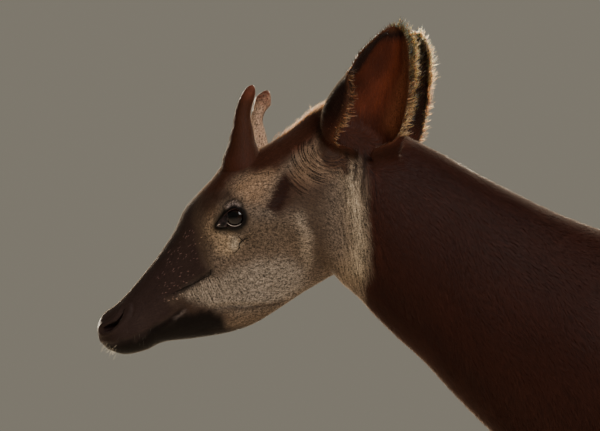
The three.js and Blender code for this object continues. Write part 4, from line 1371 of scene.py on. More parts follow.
def place_on_skin(points, part):
    """The slice and the angle of points on the trunk, the lids and the nostrils; the rump's for limbs."""
    s = np.full(len(points), float(RUMP))
    t = np.zeros(len(points))
    trunk = on_trunk(part)
    s[trunk], t[trunk] = trunk_place(points[trunk])
    return s, t


def limb_turn(points, part):
    """The angle of points round their own limb, in turns, and the limb's girth. An ear counts across its
    inner face and back across its outer one."""
    turn = np.zeros(len(points))
    girth = np.full(len(points), 260.0)
    for name, (rows, _, step) in LEGS.items():
        mine = part == LEG_PARTS[name]
        turn[mine] = leg_place(points[mine], rows, step) / 360
    tail_axis = [(x, 0, z) for x, z, _ in reversed(TAIL_PATH)]
    for number, path, round_about in ((TAIL, tail_axis, 100), (OSSICONE, OSSICONE_PATH, 110)):
        rows = np.array(path, float)
        mine = part == number
        x, y, z = points[mine].T
        out = np.abs(y) - np.interp(z, rows[:, 2], rows[:, 1])
        turn[mine] = np.arctan2(out, x - np.interp(z, rows[:, 2], rows[:, 0])) / (2 * math.pi)
        girth[mine] = round_about
    ear = part == EAR
    v, within = ear_place(points[ear])
    turn[ear] = np.where(within, v, -v) / 2
    girth[ear] = 420
    return turn, girth


def is_limb(part):
    """True for the legs, the tail, the ears and the ossicones."""
    return (part > TRUNK) & (part <= OSSICONE)


def in_fan(points, part):
    """How far points are inside the fan of striped hair under the ear, from 0 to 1."""
    return fade(-7, 7, inside(BRINDLE, points[:, [0, 2]])) * ((part == TRUNK) | (part == LID))


def in_patch(outline, points, part):
    """How far points are inside a patch of hair that lies its own way, from 0 to 1."""
    return fade(-8, 8, inside(outline, points[:, [0, 2]])) * (part == TRUNK)


# Round numbers for the trunk's radius and the fall of its hair down the flanks, at slices
TRUNK_RADIUS = ([0, HEAD_END, NECK_END, RUMP], [35, 105, 150, 250])
FALL = ([0, 8, 12, HEAD_END, NECK_END, RUMP], [0.05, 0.1, 0.35, 0.8, 0.7, 0.7])
# What the hair of the head turns away from: the eye and the root of the ear, each with how far and how much
PARTINGS = [((EYE["x"] - 10, EYE["out"], EYE["z"]), 34, 1.4), ((-590, 70, 1700), 60, 1.6)]


def comb_of(points, part, s, t):
    """Millimetres across and along the lie of the hair, and a number of the part."""
    many = np.linspace(0, RUMP, 400)
    rows = through(SLICES, many)
    axis = (rows[:, 0:2] + rows[:, 2:4]) / 2
    run = np.concatenate([[0], np.cumsum(np.linalg.norm(np.diff(axis, axis=0), axis=1))])
    turn, girth = limb_turn(points, part)
    limb = is_limb(part)
    across = np.where(limb, turn * girth, t * np.interp(s, *TRUNK_RADIUS))
    along = np.where(limb, points[:, 2], np.interp(s, many, run))
    fan = in_fan(points, part) > 0.5
    flat = points[:, [0, 2]]
    away = flat - EAR_ROOT
    across = np.where(fan, np.linalg.norm(away, axis=1), across)
    along = np.where(fan, np.arctan2(away[:, 1], away[:, 0]) * 60, along)
    for outline, (dx, dz) in PATCHES:
        patch = in_patch(outline, points, part) > 0.5
        across = np.where(patch, flat @ [-dz, dx], across)
        along = np.where(patch, flat @ [dx, dz], along)
    return np.stack([across, along, part * 7.0], axis=1)


def lie_of_hair(points, edges, part, normal):
    """The way the hair lies at each point of the skin: along the trunk to the tail and down its flanks, down
    the legs and the tail, up the ears, and away from the eyes and ears' roots; then smoothed."""
    s, t = place_on_skin(points, part)
    ahead = through(SLICES, s + 0.2) - through(SLICES, s - 0.2)
    ahead = ahead[:, 0:2] + ahead[:, 2:4]
    way = unit(np.stack([ahead[:, 0], 0 * s, ahead[:, 1]], axis=1))
    way[:, 2] -= np.interp(s, *FALL) * np.abs(np.cos(t))
    for (x, out, z), long, strength in PARTINGS:
        away = points - np.stack([0 * s + x, np.sign(points[:, 1]) * out, 0 * s + z], axis=1)
        near = bell(np.linalg.norm(away, axis=1), long)
        way += strength * near[:, None] * unit(away)
    away = points[:, [0, 2]] - EAR_ROOT
    arc = unit(np.stack([-away[:, 1], 0 * s, away[:, 0]], axis=1))
    way = toward(way, in_fan(points, part), arc)
    for outline, (dx, dz) in PATCHES:
        way = toward(way, in_patch(outline, points, part), np.array([dx, 0, dz]))
    ear = part == EAR
    v, _ = ear_place(points[ear])
    way[ear] = np.stack([(0.5 - v) * 1.2, 0 * v, 0 * v + 1], axis=1)
    for name in LEGS:
        way[part == LEG_PARTS[name]] = (0.18, 0, -1)
    way[part == TAIL] = (0.2, 0, -1)
    return laid_flat(relax(way, edges, np.ones(len(way)), 10), normal), s, t


class Hide:
    """A surface that hair grows on: its points and faces, and each point's normal and lie of the hair."""

    def __init__(self, points, faces, part, normal, area, way):
        self.points, self.faces, self.part = points, faces, part
        self.normal, self.area, self.way = normal, area, way
        self.middle = points[faces].mean(axis=1)

    def read(self, values, picked, share):
        """Values of the points, read at places on the faces."""
        return np.einsum("ij,ij...->i...", share, values[self.faces[picked]])

    def roots(self, weight, count, rng):
        """Roots spread by area and weight: where each is, its normal, the lie of the hair, the part."""
        total = np.cumsum(self.area * weight)
        picked = np.searchsorted(total, (np.arange(count) + rng.random(count)) / count * total[-1])
        picked = np.minimum(picked, len(self.faces) - 1)
        first, second = np.sqrt(rng.random(count)), rng.random(count)
        share = np.stack([1 - first, first * (1 - second), first * second], axis=1)
        root = self.read(self.points, picked, share)
        normal = unit(self.read(self.normal, picked, share))
        way = laid_flat(self.read(self.way, picked, share), normal)
        return root, normal, way, self.part[picked]


skin_normal, skin_area = point_normals(skin_points, skin_faces)
hair_way, skin_s, skin_t = lie_of_hair(skin_points, skin_edges, point_part, skin_normal)
skin_hide = Hide(skin_points, skin_faces, skin_part, skin_normal, skin_area, hair_way)


def marks_of(points, part, s, t, paint=None, stray=0.0):
    """The attributes that the fur's materials read, for points of the skin or roots of tufts. A paint takes
    the place of the pelt's colour, which is read as far off as the tufts stray from the marks' edges."""
    colour, bare = pelt(points + stray, part, s)
    stripe = np.clip(cream_share(points, part), -3, 3)
    brindle = in_fan(points, part) * fade(14, 28, np.linalg.norm(points[:, [0, 2]] - EAR_ROOT, axis=1))
    brindle += 0.5 * in_patch(CHEEK, points, part) * fade(-780, -840, points[:, 0])
    brindle += 0.45 * in_patch(THROAT, points, part)
    if paint is not None:
        colour[:] = paint
        stripe[:] = -3
    return [
        ("pelt", "FLOAT_COLOR", "POINT", np.concatenate([colour, np.ones((len(colour), 1))], axis=1)),
        ("bare", "FLOAT", "POINT", bare),
        ("brindle", "FLOAT", "POINT", brindle),
        ("stripe", "FLOAT", "POINT", stripe),
        ("comb", "FLOAT_VECTOR", "POINT", comb_of(points, part, s, t)),
    ]


def finish_piece(piece, material, slot, *nodes):
    """Gives a piece its material and the body it rides on, and hides the nodes it stands for; slot is not
    used.
    """
    piece.data.materials.append(material)
    if nodes:
        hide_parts(*nodes)
    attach(piece, "root")


def show_piece(name, shape, material, slot, *nodes):
    """Makes a piece from its points, faces and attributes, and finishes it."""
    finish_piece(new_object(name, new_mesh(name, *shape)), material, slot, *nodes)


fur_material = skin_finish()
skin_marks = marks_of(skin_points, point_part, skin_s, skin_t)
show_piece(
    "skin", (skin_points, skin_faces, skin_marks), fur_material, "dark_coat",
    "head", "neck", "torso", "tail", "ear_left", "ear_right", *LEGS,
)

# The ossicones


def ossicone_form(side):
    """An ossicone: a tapering tube along its bent axis, swollen at its tip and drawn in below it."""
    x, out, z, radius = even_run(OSSICONE_PATH, 64).T
    knob, waist = OSSICONE_TIP[side]
    radius = radius + knob * bell(z - 1766, 9) - waist * bell(z - 1734, 20)
    path = np.stack([x, side * out, z], axis=1)
    return path_form(path, np.maximum(radius - COAT_ON_LIMBS["ossicone"], 1), 36, across=(1, 0, 0))


ossicone_hides = []
for side, word in SIDES:
    points, faces = ossicone_form(side)
    part = np.full(len(points), OSSICONE)
    normal, area = point_normals(points, faces)
    way = np.tile(np.array([0.12, 0, 1.0]), (len(points), 1))
    ossicone_hides.append(Hide(points, faces, np.full(len(faces), OSSICONE), normal, area, way))
    blank = np.zeros(len(points))
    marks = marks_of(points, part, blank, blank)
    show_piece("horn_" + word, (points, faces, marks), fur_material, "ossicone", "ossicone_" + word)

# The eyes

GAZE = {"forward": 0.3, "up": 0.02}
IRIS = 0.72  # the iris's radius as a share of the ball's
PUPIL = (0.46, 0.27)


def eye_form(side, rings=56, around=72):
    """An eye's ball with the cornea's swelling, and each point's place in its view: across, up and ahead."""
    ahead = unit(np.array([-GAZE["forward"], side, GAZE["up"]]))
    across = unit(np.array([1.0, side * GAZE["forward"], 0]))
    up = np.cross(ahead, across) * side
    v, t = rows_round(np.linspace(0.01, math.pi - 0.01, rings), around)
    view = np.stack([np.sin(v) * np.cos(t), np.sin(v) * np.sin(t), np.cos(v)], axis=-1)
    swell = EYE["radius"] - 0.4 + 0.7 * bell(v, 0.5)
    points, faces = tube(eye_centre(side) + (view @ np.stack([across, up, ahead])) * swell[..., None])
    view = np.concatenate([view.reshape(-1, 3), view[[0, -1]].mean(axis=1)])
    return points, faces, [("view", "FLOAT_VECTOR", "POINT", view)]


def eye_finish():
    """A wet eye: a level dark pupil in a brown iris with fine rays, a dark rim and brown white round it."""
    finish = Finish("wet_eye", Roughness=0.07, IOR=1.33)
    view = finish.colour("view")
    x, y = (finish.node("ShaderNodeSeparateXYZ", {}, {0: view}, k) for k in range(2))
    pupil = ((x * (1 / PUPIL[0])) ** 2.0 + (y * (1 / PUPIL[1])) ** 2.0) ** 0.5
    reach = (x * x + y * y) ** 0.5
    rays = finish.noise(finish.stretched(view, (9.0, 9.0, 1.0)), 2.0, 4.0)
    iris = finish.mix(rays, rgba(tint(10, 6, 5)), rgba(tint(30, 17, 12)))
    seen = finish.mix(finish.step(pupil, 0.9, 1.1), rgba(tint(4, 4, 5)), iris)
    rim = finish.mix(finish.step(reach, IRIS * 0.86, IRIS), seen, rgba(tint(8, 6, 6)))
    white = finish.step(reach, IRIS * 1.05, IRIS * 1.3)
    finish.shade(Base_Color=finish.mix(white, rim, rgba(tint(46, 30, 26))))
    return finish.material


def tear_glint_finish():
    """The moist edge of a lid, with the tear film on it: glossy, and painted pale as the glint of the film.
    """
    finish = Finish("tear_film_glint", Roughness=0.08, Coat_Weight=1.0, Coat_Roughness=0.03)
    spots = finish.noise(finish.place(), 500.0)
    finish.shade(Base_Color=finish.mix(spots, rgba(tint(120, 104, 98)), rgba(tint(196, 182, 172))))
    return finish.material


def flesh_finish():
    """The dark moist flesh in the front corner of the eye."""
    finish = Finish("corner_flesh", Roughness=0.4, Specular_IOR_Level=0.25)
    spots = finish.step(finish.noise(finish.place(), 240.0), 0.35, 0.7)
    finish.shade(Base_Color=finish.mix(spots, rgba(tint(8, 4, 4)), rgba(tint(44, 32, 32))))
    return finish.material


def over_ball(side, flat, above):
    """Places seen from the side laid over the eye's ball, and level past its edge."""
    out = np.sqrt(np.clip((EYE["radius"] + 0.5) ** 2 - np.sum(flat**2, axis=1), 15.0**2, None)) + above
    return np.stack([flat[:, 0], side * out, flat[:, 1]], axis=1) + eye_centre(side)


def corner_form(side):
    """The flesh in the front corner of the eye: a thin shell over the ball inside its outline."""
    flat = closed_curve(CORNER_FLESH, 60)
    centre = flat.mean(axis=0)
    # each ring: the share of the outline, and how far over or under the shell
    shares = (0.05, 0.35, 0.7, 0.88, 1, 1, 0.6, 0.05)
    levels = (0.4, 0.3, 0.1, -0.2, -0.9, -2, -2.4, -2.4)
    return tube(np.array([
        over_ball(side, centre + (flat - centre) * share, level) for share, level in zip(shares, levels)
    ]))


def tear_form(side, line):
    """A fine bead of tears along a line on the ball or the flesh in its corner, thin towards its ends."""
    flat = even_run(line, 40)
    ends = np.sin(np.linspace(0.04, 0.96, len(flat)) * math.pi) ** 0.5
    return path_form(over_ball(side, flat, 0.1), 0.7 * ends, 10)


eye_material, tear_glint_material, flesh_material = eye_finish(), tear_glint_finish(), flesh_finish()
for side, word in SIDES:
    show_piece("eyeball_" + word, eye_form(side), eye_material, "eye", "eye_" + word)
    show_piece("corner_" + word, corner_form(side), flesh_material, "eye")
    # beads of tears, painted pale as glints of the tear film
    for name, line in TEAR_LINES.items():
        show_piece(f"{name}_{word}", tear_form(side, line), tear_glint_material, "eye")

# The hooves


def hoof_form(rows, side, step, which, rings=40, around=48):
    """A hoof: level ovals that widen to the sole and narrow to the toe, with the rings it grows in."""
    _, x, out, *_ = rows[-1]
    u, t = rows_round(np.linspace(0, len(HOOF_SLICES) - 1, rings), around)
    z, front, rear, half = np.moveaxis(through(HOOF_SLICES, u), -1, 0)
    z = np.maximum(z, 0)
    growth = 0.35 * np.sin(z * 1.3) * fade(4, 12, z) * fade(HOOF_TOP, 76, z)
    behind = signed(np.cos(t), 0.85) * (np.where(np.cos(t) > 0, rear, front) + growth)
    toe = np.maximum(0, -behind / front)
    narrow = half * (1 - 0.28 * toe**2)
    inset = CLEFT / 2 + half - (half - narrow) * 0.6
    outward_by = signed(np.sin(t), 0.85) * (narrow + growth - 0.3)
    level = np.maximum(tilted(np.where(u == 0, z - 0.4, z), behind), 0)
    x = x + step_at(z, step) + behind
    return tube(np.stack([x, side * (out + which * inset + outward_by), level], axis=-1))


def hoof_finish():
    """Dark horn: fine upright grain over growth rings, scuffed paler and rougher towards the sole."""
    finish = Finish("hoof_horn", Coat_Weight=0.12, Coat_Roughness=0.3)
    place = finish.place()
    grain = finish.noise(finish.stretched(place, (420.0, 420.0, 24.0)), 1.0, 3.0)
    band = finish.noise(finish.stretched(place, (6.0, 6.0, 160.0)), 1.0, 2.0)
    height = finish.node("ShaderNodeSeparateXYZ", {}, {0: place}, 2)
    scuff = finish.step(height, 0.03, 0.0) * finish.noise(place, 90.0)
    horn = finish.mix(grain * 0.6 + band * 0.4, rgba(tint(30, 24, 22)), rgba(tint(78, 66, 58)))
    finish.shade(
        Base_Color=finish.mix(scuff, horn, rgba(tint(128, 116, 104))),
        Roughness=0.38 + scuff * 0.4 + grain * 0.12,
        Normal=finish.bump(grain * 0.5 + band, 0.35, 0.0008),
    )
    return finish.material


hoof_material = hoof_finish()
for name, (rows, side, step) in LEGS.items():
    for which, word in ((1, "_outer"), (-1, "_inner")):
        node = name.replace("leg", "hoof") + word
        show_piece("horn_" + node, hoof_form(rows, side, step, which), hoof_material, "hoof", node)

# The coat: tufts on every furred surface
BAKE_PATCH = 0.003  # the side of a tuft's patch on the bake map
MAP_TOP = 1900  # the height at the top of the limbs' map
STRAY = 1.6  # how far off a tuft of the head may read its colour


def trunk_cell(s, t, root, part):
    """The trunk unrolled: along by slice and round by angle."""
    return s / RUMP, (t % (2 * math.pi)) / (2 * math.pi)


def limb_cell(s, t, root, part):
    """The limbs unrolled, side by side: each a band of the map, round by angle and up by height."""
    turn, _ = limb_turn(root, part)
    return (part - 1.5 + 0.96 * turn) / OSSICONE, root[:, 2] / MAP_TOP


def add_bake_map(mesh, cell, root, part, s, t, corners, faces):
    """The map OFBake: each tuft a small patch at its root's place on the unrolled skin."""
    u, v = cell(s, t, root, part)
    patch = BAKE_PATCH * (corners - 0.5)
    places = np.clip(np.stack([u, v], axis=1), 0.004, 0.996)[:, None] + patch[None]
    layer = mesh.uv_layers.new(name="OFBake")
    layer.uv.foreach_set("vector", places.reshape(-1, 2)[faces.ravel()].astype(np.float32).ravel())


def hair_mesh(name, points, faces_of_one, lean, tone, root, part, cell, corners, paint=None):
    """Joins hairs of one pattern into a mesh: points are hairs by corners, faces_of_one the faces of one
    hair. It carries each root's marks, tone and place on the bake map, and normals that follow the skin."""
    count, each = points.shape[:2]
    faces = (np.arange(count)[:, None, None] * each + np.array(faces_of_one)[None]).reshape(-1, 3)
    s, t = place_on_skin(root, part)
    stray = np.random.default_rng(count).normal(0, STRAY, root.shape) * (s < HEAD_END + 2)[:, None]
    marks = [
        (key, kind, domain, np.repeat(np.asarray(values), each, axis=0))
        for key, kind, domain, values in marks_of(root, part, s, t, paint, stray)
    ]
    marks.append(("shade", "FLOAT", "POINT", tone.ravel()))
    marks.append(("custom_normal", "FLOAT_VECTOR", "POINT", unit(lean).reshape(-1, 3)))
    mesh = new_mesh(name, points.reshape(-1, 3), faces, marks)
    add_bake_map(mesh, cell, root, part, s, t, corners, faces)
    return new_object(name, mesh)


TUFT_CORNERS = np.array([[0.0, 0], [1, 0], [0.5, 0.4], [0.5, 1]])
TUFT_FACES = [[0, 1, 3], [1, 2, 3], [2, 0, 3], [0, 2, 1]]
TUFT_TONES = np.array([-0.18, -0.18, -0.05, 0.2])  # darker at its root, lighter at its tip
GLINTS = 0.035  # the share of bright flecks, painted glints, among the tufts of the muzzle


def coat_piece(name, seed, hide, weight, count, long, wide, lift, slot, cell):
    """A piece of coat: flat pointed tufts with a ridge, rooted in the skin and leaning along the lie of the
    hair. Each is a triangle drawn out to a tip. long, wide and lift are functions of the slice and root."""
    rng = np.random.default_rng(seed)
    count = int(count * COUNT)
    root, normal, way, part = hide.roots(weight, count, rng)
    s, _ = place_on_skin(root, part)
    on_face = ((part == TRUNK) * fade(HEAD_END + 1, HEAD_END, s))[:, None]
    turn = (rng.normal(0, 0.18, count) + 0.2 * waver(root, 60, seed + 50))[:, None]
    way = way * np.cos(turn) + np.cross(normal, way) * np.sin(turn)
    beside = np.cross(normal, way)
    length = (long(s, root) * rng.uniform(0.7, 1.2, count))[:, None]
    width = (wide(s, root) * rng.uniform(0.75, 1.25, count))[:, None]
    rise = np.radians(lift(s, root) * rng.uniform(0.6, 1.4, count))[:, None]
    tip = root + length * (np.cos(rise) * way + np.sin(rise) * normal)
    base = root - normal * 0.25 * width
    points = np.stack([
        base - beside * width / 2, base + beside * width / 2, base + normal * 0.55 * width, tip,
    ], axis=1)
    ridge = (0.5 - 0.28 * on_face) * beside
    lean = np.stack([normal - ridge, normal + ridge, normal, normal + 0.25 * way], axis=1)
    glint = rng.random(count) < GLINTS * fade(0, 12, inside(SPECKS, root[:, [0, 2]])) * (s < HEAD_END)
    tone = np.exp(rng.normal(0, 1, count) * (0.14 + 0.07 * on_face[:, 0]))
    # painted glints: a few tufts of the muzzle made many times brighter
    tone = tone + glint * rng.uniform(4, 16, count)
    tone = tone[:, None] * (1 + TUFT_TONES * (1 - 0.45 * on_face))
    piece = hair_mesh(name, points, TUFT_FACES, lean, tone, root, part, cell, TUFT_CORNERS)
    finish_piece(piece, coat_material, slot)


TIP_TONE = 1.3  # how bright a strand is at its tip


def strand_piece(name, roots, long, wide, seed, slot, cell, paint, *nodes, steps=3, foot=0.75, vary=0.2,
                 material=None):
    """A piece of longer hair: three-sided strands that leave the root one way and bend over to another,
    their middle line a parabola, drawn out to a tip. roots holds the place, normal, way, bend and part of
    each, foot is how bright a strand is at its root, and vary how unlike in tone the strands are."""
    root, normal, way, bend, part = roots
    rng = np.random.default_rng(seed)
    count = len(root)
    u = np.linspace(0, 1, steps + 1)[:-1]
    length = (long * rng.uniform(0.45, 1.25, count))[:, None, None]
    width = (wide * rng.uniform(0.7, 1.2, count))[:, None, None]
    beside = unit(np.cross(normal, way))[:, None]
    over = np.cross(way, beside[:, 0])[:, None]
    line = root[:, None] + length * (u[:, None] * way[:, None] + (u**2)[:, None] * bend[:, None])
    thin = (width * (1 - u[:, None]) ** 0.7)[:, :, None]
    ring = np.stack([-beside, beside, over * 0.8], axis=2) * thin / 2
    tip = root + length[:, 0] * (way + bend)
    points = np.concatenate([(line[:, :, None] + ring).reshape(count, -1, 3), tip[:, None]], axis=1)
    faces = [[0, 2, 1]]
    for k in range(0, 3 * steps - 3, 3):
        for a, b in ((0, 1), (1, 2), (2, 0)):
            faces += [[k + a, k + b, k + b + 3], [k + a, k + b + 3, k + a + 3]]
    last = 3 * steps
    faces += [[last - 3, last - 2, last], [last - 2, last - 1, last], [last - 1, last - 3, last]]
    lean = np.stack([-beside, beside, 1.2 * over], axis=2)
    lean = np.broadcast_to(lean, (count, steps, 3, 3)).reshape(count, -1, 3)
    lean = np.concatenate([lean + normal[:, None], normal[:, None]], axis=1)
    lighter = np.append(np.repeat(foot + (TIP_TONE - foot) * u, 3), TIP_TONE)
    tone = np.exp(rng.normal(0, vary, count))[:, None] * lighter
    corners = np.stack([np.tile([0.0, 1, 0.5], steps), np.repeat(u, 3)], axis=1)
    corners = np.append(corners, [[0.5, 1]], axis=0)
    piece = hair_mesh(name, points, faces, lean, tone, root, part, cell, corners, paint)
    finish_piece(piece, material or coat_material, slot, *nodes)


def grown(low_s, low, high_s, high):
    """A length that grows from one slice to another."""
    return lambda s, root: low + (high - low) * fade(low_s, high_s, s)


def down_leg(low, high):
    """A length that grows up a leg."""
    return lambda s, root: low + (high - low) * fade(150, 1000, root[:, 2])


def same(value):
    """A length that is the same everywhere."""
    return lambda s, root: np.full(len(root), float(value))


coat_material = coat_finish("coat", 0.0)
fringe_material = coat_finish("fringe", 1.0)
COUNT = 1.0  # the share of the tufts that is grown
middle = skin_hide.middle
face_s, _ = place_on_skin(middle, skin_part)
is_trunk = skin_part == TRUNK
_, face_bare = pelt(middle, skin_part, face_s)
furred = 1 - fade(0.2, 0.7, face_bare)


def side_coats(side):
    """The coats of one side: what each covers, its hide, where it grows, how many tufts it has, their
    length, width and lift in degrees, and the piece's slot and map."""
    this_side = middle[:, 1] * side > 0
    trunk = is_trunk * this_side
    face = trunk * (face_s <= HEAD_END) * furred * (1 + 1.5 * fade(9, 3, face_s))
    neck = trunk * (face_s > HEAD_END) * (face_s <= NECK_END)
    limbs = ((skin_part > TRUNK) & (skin_part <= TAIL)) * this_side
    legs = limbs * (1 + 1.2 * fade(700, 300, middle[:, 2]))
    horn = ossicone_hides[(side + 1) // 2]
    furry_horn = fade(1770, 1750, horn.middle[:, 2])
    return [
        ("face", skin_hide, face, 48000, grown(2, 3, HEAD_END, 5.6), grown(2, 0.55, HEAD_END, 0.85),
         grown(2, 11, HEAD_END, 15), "face_coat", trunk_cell),
        ("neck", skin_hide, neck, 38000, grown(HEAD_END, 10, NECK_END, 15),
         grown(HEAD_END, 1.1, NECK_END, 1.8), same(14), "dark_coat", trunk_cell),
        ("body", skin_hide, trunk * (face_s > NECK_END), 36000, grown(NECK_END, 16, RUMP, 20),
         grown(NECK_END, 2.5, RUMP, 2.8), same(13), "dark_coat", trunk_cell),
        ("legs", skin_hide, legs, 34000, down_leg(8, 17), down_leg(1.3, 2.6), same(13), "leg_coat",
         limb_cell),
        ("ear", skin_hide, (skin_part == EAR) * this_side, 11000, same(8), same(1.0), same(14), "ear_coat",
         limb_cell),
        ("horn", horn, furry_horn, 3500, same(6), same(0.9), same(10), "ossicone", limb_cell),
    ]


for side, word in SIDES:
    for i, (kind, *coat) in enumerate(side_coats(side)):
        coat_piece(f"coat_{kind}_{word}", 100 + 10 * side + i, *coat)

# An ear's longer hair: lowest and highest root, share from the rear to the front edge from and to, how many,
# the way it lies to the rear, up and out, its length and its colour; the fringes' colours are painted light,
# bright high up where back light catches them and darker low down
EAR_HAIR = [
    (1700, 1800, 0.93, 1.0, 460, (0.9, -0.3, 0.15), 13, FRONT_FRINGE),
    (1690, 1730, 0.8, 1.0, 180, (0.8, -0.5, 0.2), 13, FRONT_FRINGE),
    (1790, 1856, 0.94, 1.0, 160, (-0.4, 0.9, 0.1), 5, EAR_EDGE),
    (1815, 1863, 0.0, 0.3, 420, (0.8, 0.8, 0.1), 19, BACKLIT_TOP_FRINGE),
    (1785, 1845, 0.0, 0.14, 460, (0.95, 0.45, -0.3), 19, BACKLIT_REAR_FRINGE),
    (1700, 1800, 0.0, 0.1, 420, (0.95, 0.3, -0.25), 17, SHADED_LOW_FRINGE),
    (1750, 1848, 0.14, 0.36, 380, (0.75, 0.5, -0.6), 14, BACKLIT_REAR_FRINGE),
    (1700, 1850, 0.1, 0.3, 160, (0.8, 0.45, -0.4), 12, EAR_DARK),
    (1842, 1863, 0.0, 0.85, 340, (0.35, 1.0, 0.1), 11, BACKLIT_REAR_FRINGE),
]


def ear_hair(side, low, high, first, last, count, lie, seed):
    """Roots of an ear's longer hair: even places in a band of its middle surface, leaning the way of lie."""
    rng = np.random.default_rng(seed)
    heights = [row[0] for row in EAR_SLICES]
    u = np.interp(rng.uniform(low, high, count), heights, np.arange(len(heights)))
    v = rng.uniform(first, last, count)
    root = ear_surface(u, v, side)
    rise = unit(ear_surface(u + 0.01, v, side) - root)
    over = unit(ear_surface(u, v + 0.002, side) - root)
    normal = unit(np.cross(rise, over))
    normal = normal * np.sign(normal[:, 1:2] * side + 1e-9)
    lie = np.array([lie[0], side * lie[2], lie[1]])
    way = unit(lie + rng.normal(0, 0.27, (count, 3)))
    bend = 0.2 * (rise - way) + rng.normal(0, 0.12, (count, 3))
    return root - way, normal, way, bend, np.full(count, EAR)


for side, word in SIDES:
    for i, (low, high, first, last, count, lie, long, paint) in enumerate(EAR_HAIR):
        seed = 200 + 10 * i + side
        roots = ear_hair(side, low, high, first, last, count, lie, seed)
        strand_piece(f"ear_hair_{i}_{word}", roots, long, 1.5, seed + 100, "ear_coat", limb_cell, paint,
                     foot=0.25, vary=0.7, material=fringe_material)


def hair_near(weight, count, lie, droop, seed):
    """Roots of longer hair spread over the skin by a weight, leaning out along a given way."""
    rng = np.random.default_rng(seed)
    root, normal, way, part = skin_hide.roots(weight, count, rng)
    way = unit(np.asarray(lie, float) + 0.7 * normal + rng.normal(0, 0.15, (count, 3)))
    return root - way, normal, way, np.asarray(droop, float) + rng.normal(0, 0.08, (count, 3)), part


def blob(x, z, size):
    """A weight that is 1 at a place seen from the side and falls off as a bell."""
    return np.exp(-(((middle[:, 0] - x) ** 2 + (middle[:, 2] - z) ** 2) / size**2))


chin = blob(-990, 1388, 14) * is_trunk * (middle[:, 2] < 1402)
strand_piece("chin_whiskers", hair_near(chin, 34, (-0.5, 0, -0.5), (0, 0, -0.1), 401), 13, 0.35, 402,
             "face_coat", trunk_cell, BACKLIT_WHISKER)
lip = (blob(-975, 1412, 18) + blob(-940, 1405, 16)) * is_trunk * (middle[:, 2] > 1397)
strand_piece("lip_whiskers", hair_near(lip, 26, (-0.2, 0, -0.6), (0, 0, -0.3), 403), 8, 0.35, 404,
             "face_coat", trunk_cell, BACKLIT_WHISKER * 0.15)
crest = (blob(-672, 1752, 26) + 0.6 * blob(-716, 1722, 20)) * is_trunk * (np.abs(middle[:, 1]) < 34)
strand_piece("poll_crest", hair_near(crest, 900, (0.5, 0, 0.25), (0.35, 0, -0.15), 405), 15, 0.9, 406,
             "face_coat", trunk_cell, CREST, material=fringe_material)


def crease_roots(side, line, count, seed):
    """Roots of the dark hair that paints the shade in a crease: the places on the skin nearest to its line,
    lying along it.
    """
    rng = np.random.default_rng(seed)
    far, _ = from_line(line, middle[:, [0, 2]])
    weight = bell(far, 2) * is_trunk * (middle[:, 1] * side > 0)
    root, normal, way, part = skin_hide.roots(weight, 20 * count, rng)
    share = np.linspace(0, len(line) - 1.001, count)
    along = through(line, share) - root[:, None, [0, 2]]
    near = np.argmin(np.linalg.norm(along, axis=2), axis=0)
    root, normal, part = root[near], normal[near], part[near]
    run = unit(np.diff(np.array(line, float), axis=0))[share.astype(int)]
    way = unit(np.stack([run[:, 0], 0 * run[:, 0], run[:, 1]], axis=1) + 0.15 * normal)
    return root + 1.8 * normal, normal, way, rng.normal(0, 0.04, (count, 3)), part


for side, word in SIDES:
    for i, (line, count) in enumerate(HAIR_LINES):
        roots = crease_roots(side, line, count, 430 + i)
        strand_piece(f"crease_shade_hair_{i}_{word}", roots, 4.5, 0.7, 440 + i, "face_coat", trunk_cell, LASH_AND_CREASE_SHADE)


def lash_roots(side, first, last, count, lie, seed):
    """Roots of lashes on the edge of a lid: places along a stretch of the opening."""
    rng = np.random.default_rng(seed)
    flat = closed_curve(LID_OPENING, 64 * len(LID_OPENING))[rng.integers(first * 64, last * 64, count)]
    flat = flat * (1 + 1.5 / np.linalg.norm(flat, axis=1))[:, None]
    out = np.sqrt((EYE["radius"] + LID_THICK - 1) ** 2 - np.sum(flat**2, axis=1))
    normal = np.stack([flat[:, 0], side * out, flat[:, 1]], axis=1)
    way = unit(unit(normal) + np.array([lie[0], side * lie[2], lie[1]]) + rng.normal(0, 0.1, (count, 3)))
    root = normal + eye_centre(side)
    return root, unit(normal), way, np.array([0.1, 0, 0.3 * np.sign(lie[1])]), np.full(count, LID)


for side, word in SIDES:
    strand_piece("upper_lashes_" + word, lash_roots(side, 3, 8, 110, (0.1, 0.2, 0.3), 411), 9, 0.4, 412,
                 "face_coat", trunk_cell, LASH_AND_CREASE_SHADE)
    strand_piece("lower_lashes_" + word, lash_roots(side, 9, 13, 40, (0.1, -0.3, 0.3), 413), 4.5, 0.3, 414,
                 "face_coat", trunk_cell, LASH_AND_CREASE_SHADE)


def tail_locks(count, seed):
    """Roots of the tail's tuft: all round the tail's end, their locks spreading a little and hanging."""
    rng = np.random.default_rng(seed)
    z = TUFT["top"] - 8 - 70 * rng.random(count) ** 1.3
    turn = rng.uniform(0, 2 * math.pi, count)
    radial = np.stack([np.cos(turn), np.sin(turn), 0 * turn], axis=1)
    root = np.stack([0 * z + TUFT["x"], 0 * z, z], axis=1) + radial * 5
    spread = radial * rng.uniform(0.02, 0.16, count)[:, None]
    way = unit(spread + [0, 0, -1] + rng.normal(0, 0.02, (count, 3)))
    bend = -radial * rng.uniform(0.0, 0.07, count)[:, None]
    long = np.minimum(rng.uniform(90, 160, count), z - TUFT["tip"]) / 1.15
    return (root, radial, way, bend, np.full(count, TAIL)), long


roots, long = tail_locks(2000, 420)
strand_piece("tail_locks", roots, long, 2.4, 421, "dark_coat", limb_cell, CHOCOLATE * 0.7, "tail_tuft",
             steps=5)

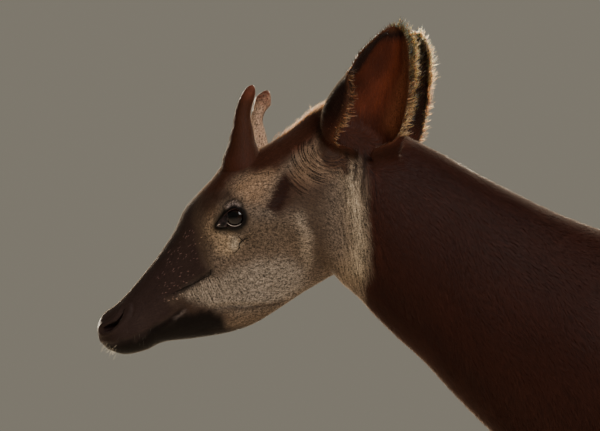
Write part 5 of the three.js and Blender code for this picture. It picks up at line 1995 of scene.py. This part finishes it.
# The floor, the light and the camera
FLOOR_REACH = 16000
floor_corners = FLOOR_REACH * np.array([(-1, -1, 0), (1, -1, 0), (1, 1, 0), (-1, 1, 0)], float)
floor = new_object("floor", new_mesh("floor", floor_corners, np.array([[0, 1, 2, 3]])))
floor_paint = Finish("studio_floor", Roughness=0.8)
floor_paint.shade(Base_Color=floor_paint.mix(
    floor_paint.noise(floor_paint.place(), 1.5), rgba(tint(188, 184, 176)), rgba(tint(200, 196, 188))
))
floor.data.materials.append(floor_paint.material)

world = bpy.data.worlds.new("studio")
world.use_nodes = True
world.node_tree.nodes["Background"].inputs["Color"].default_value = (0.3, 0.275, 0.22, 1)
world.node_tree.nodes["Background"].inputs["Strength"].default_value = 0.7
bpy.context.scene.world = world

TARGET = Vector((-0.700 + SHIFT[0], 0, 1.589))
VIEW = {"azimuth": 10, "elevation": -2, "distance": 6, "wide": 0.9, "sensor": 36}


def aim(made, azimuth, elevation, distance):
    """Sets a lamp or the camera at a distance from the target and turns it there: its azimuth is counted
    from the animal's left."""
    a, e = math.radians(azimuth), math.radians(elevation)
    way = Vector((math.sin(a) * math.cos(e), -math.cos(a) * math.cos(e), math.sin(e)))
    made.location = TARGET + way * distance
    made.rotation_euler = (TARGET - made.location).to_track_quat("-Z", "Y").to_euler()


def area_light(name, azimuth, elevation, distance, size, power, colour):
    """A square soft light that looks at the target."""
    lamp = bpy.data.lights.new(name, "AREA")
    lamp.size = size
    lamp.energy = power
    lamp.color = colour
    aim(new_object(name, lamp), azimuth, elevation, distance)


# Each lamp: its azimuth, elevation, distance, size, power and colour
LAMPS = {
    "back": (178, 22, 4.2, 1.1, 520, (1, 0.82, 0.6)),
    "rim": (214, 12, 3.2, 0.8, 320, (1, 0.86, 0.66)),
    "low": (196, -24, 3.2, 0.5, 110, (1, 0.88, 0.66)),
    "rear": (142, 38, 3.2, 0.6, 80, (1, 0.86, 0.64)),
    "fill": (32, 24, 4.5, 1.9, 150, (1, 0.97, 0.92)),
}
for name, lamp in LAMPS.items():
    area_light(name, *lamp)

camera = new_object("camera", bpy.data.cameras.new("camera"))
camera.data.sensor_width = VIEW["sensor"]
camera.data.lens = VIEW["sensor"] * VIEW["distance"] / VIEW["wide"]
aim(camera, VIEW["azimuth"], VIEW["elevation"], VIEW["distance"])
bpy.context.scene.camera = camera
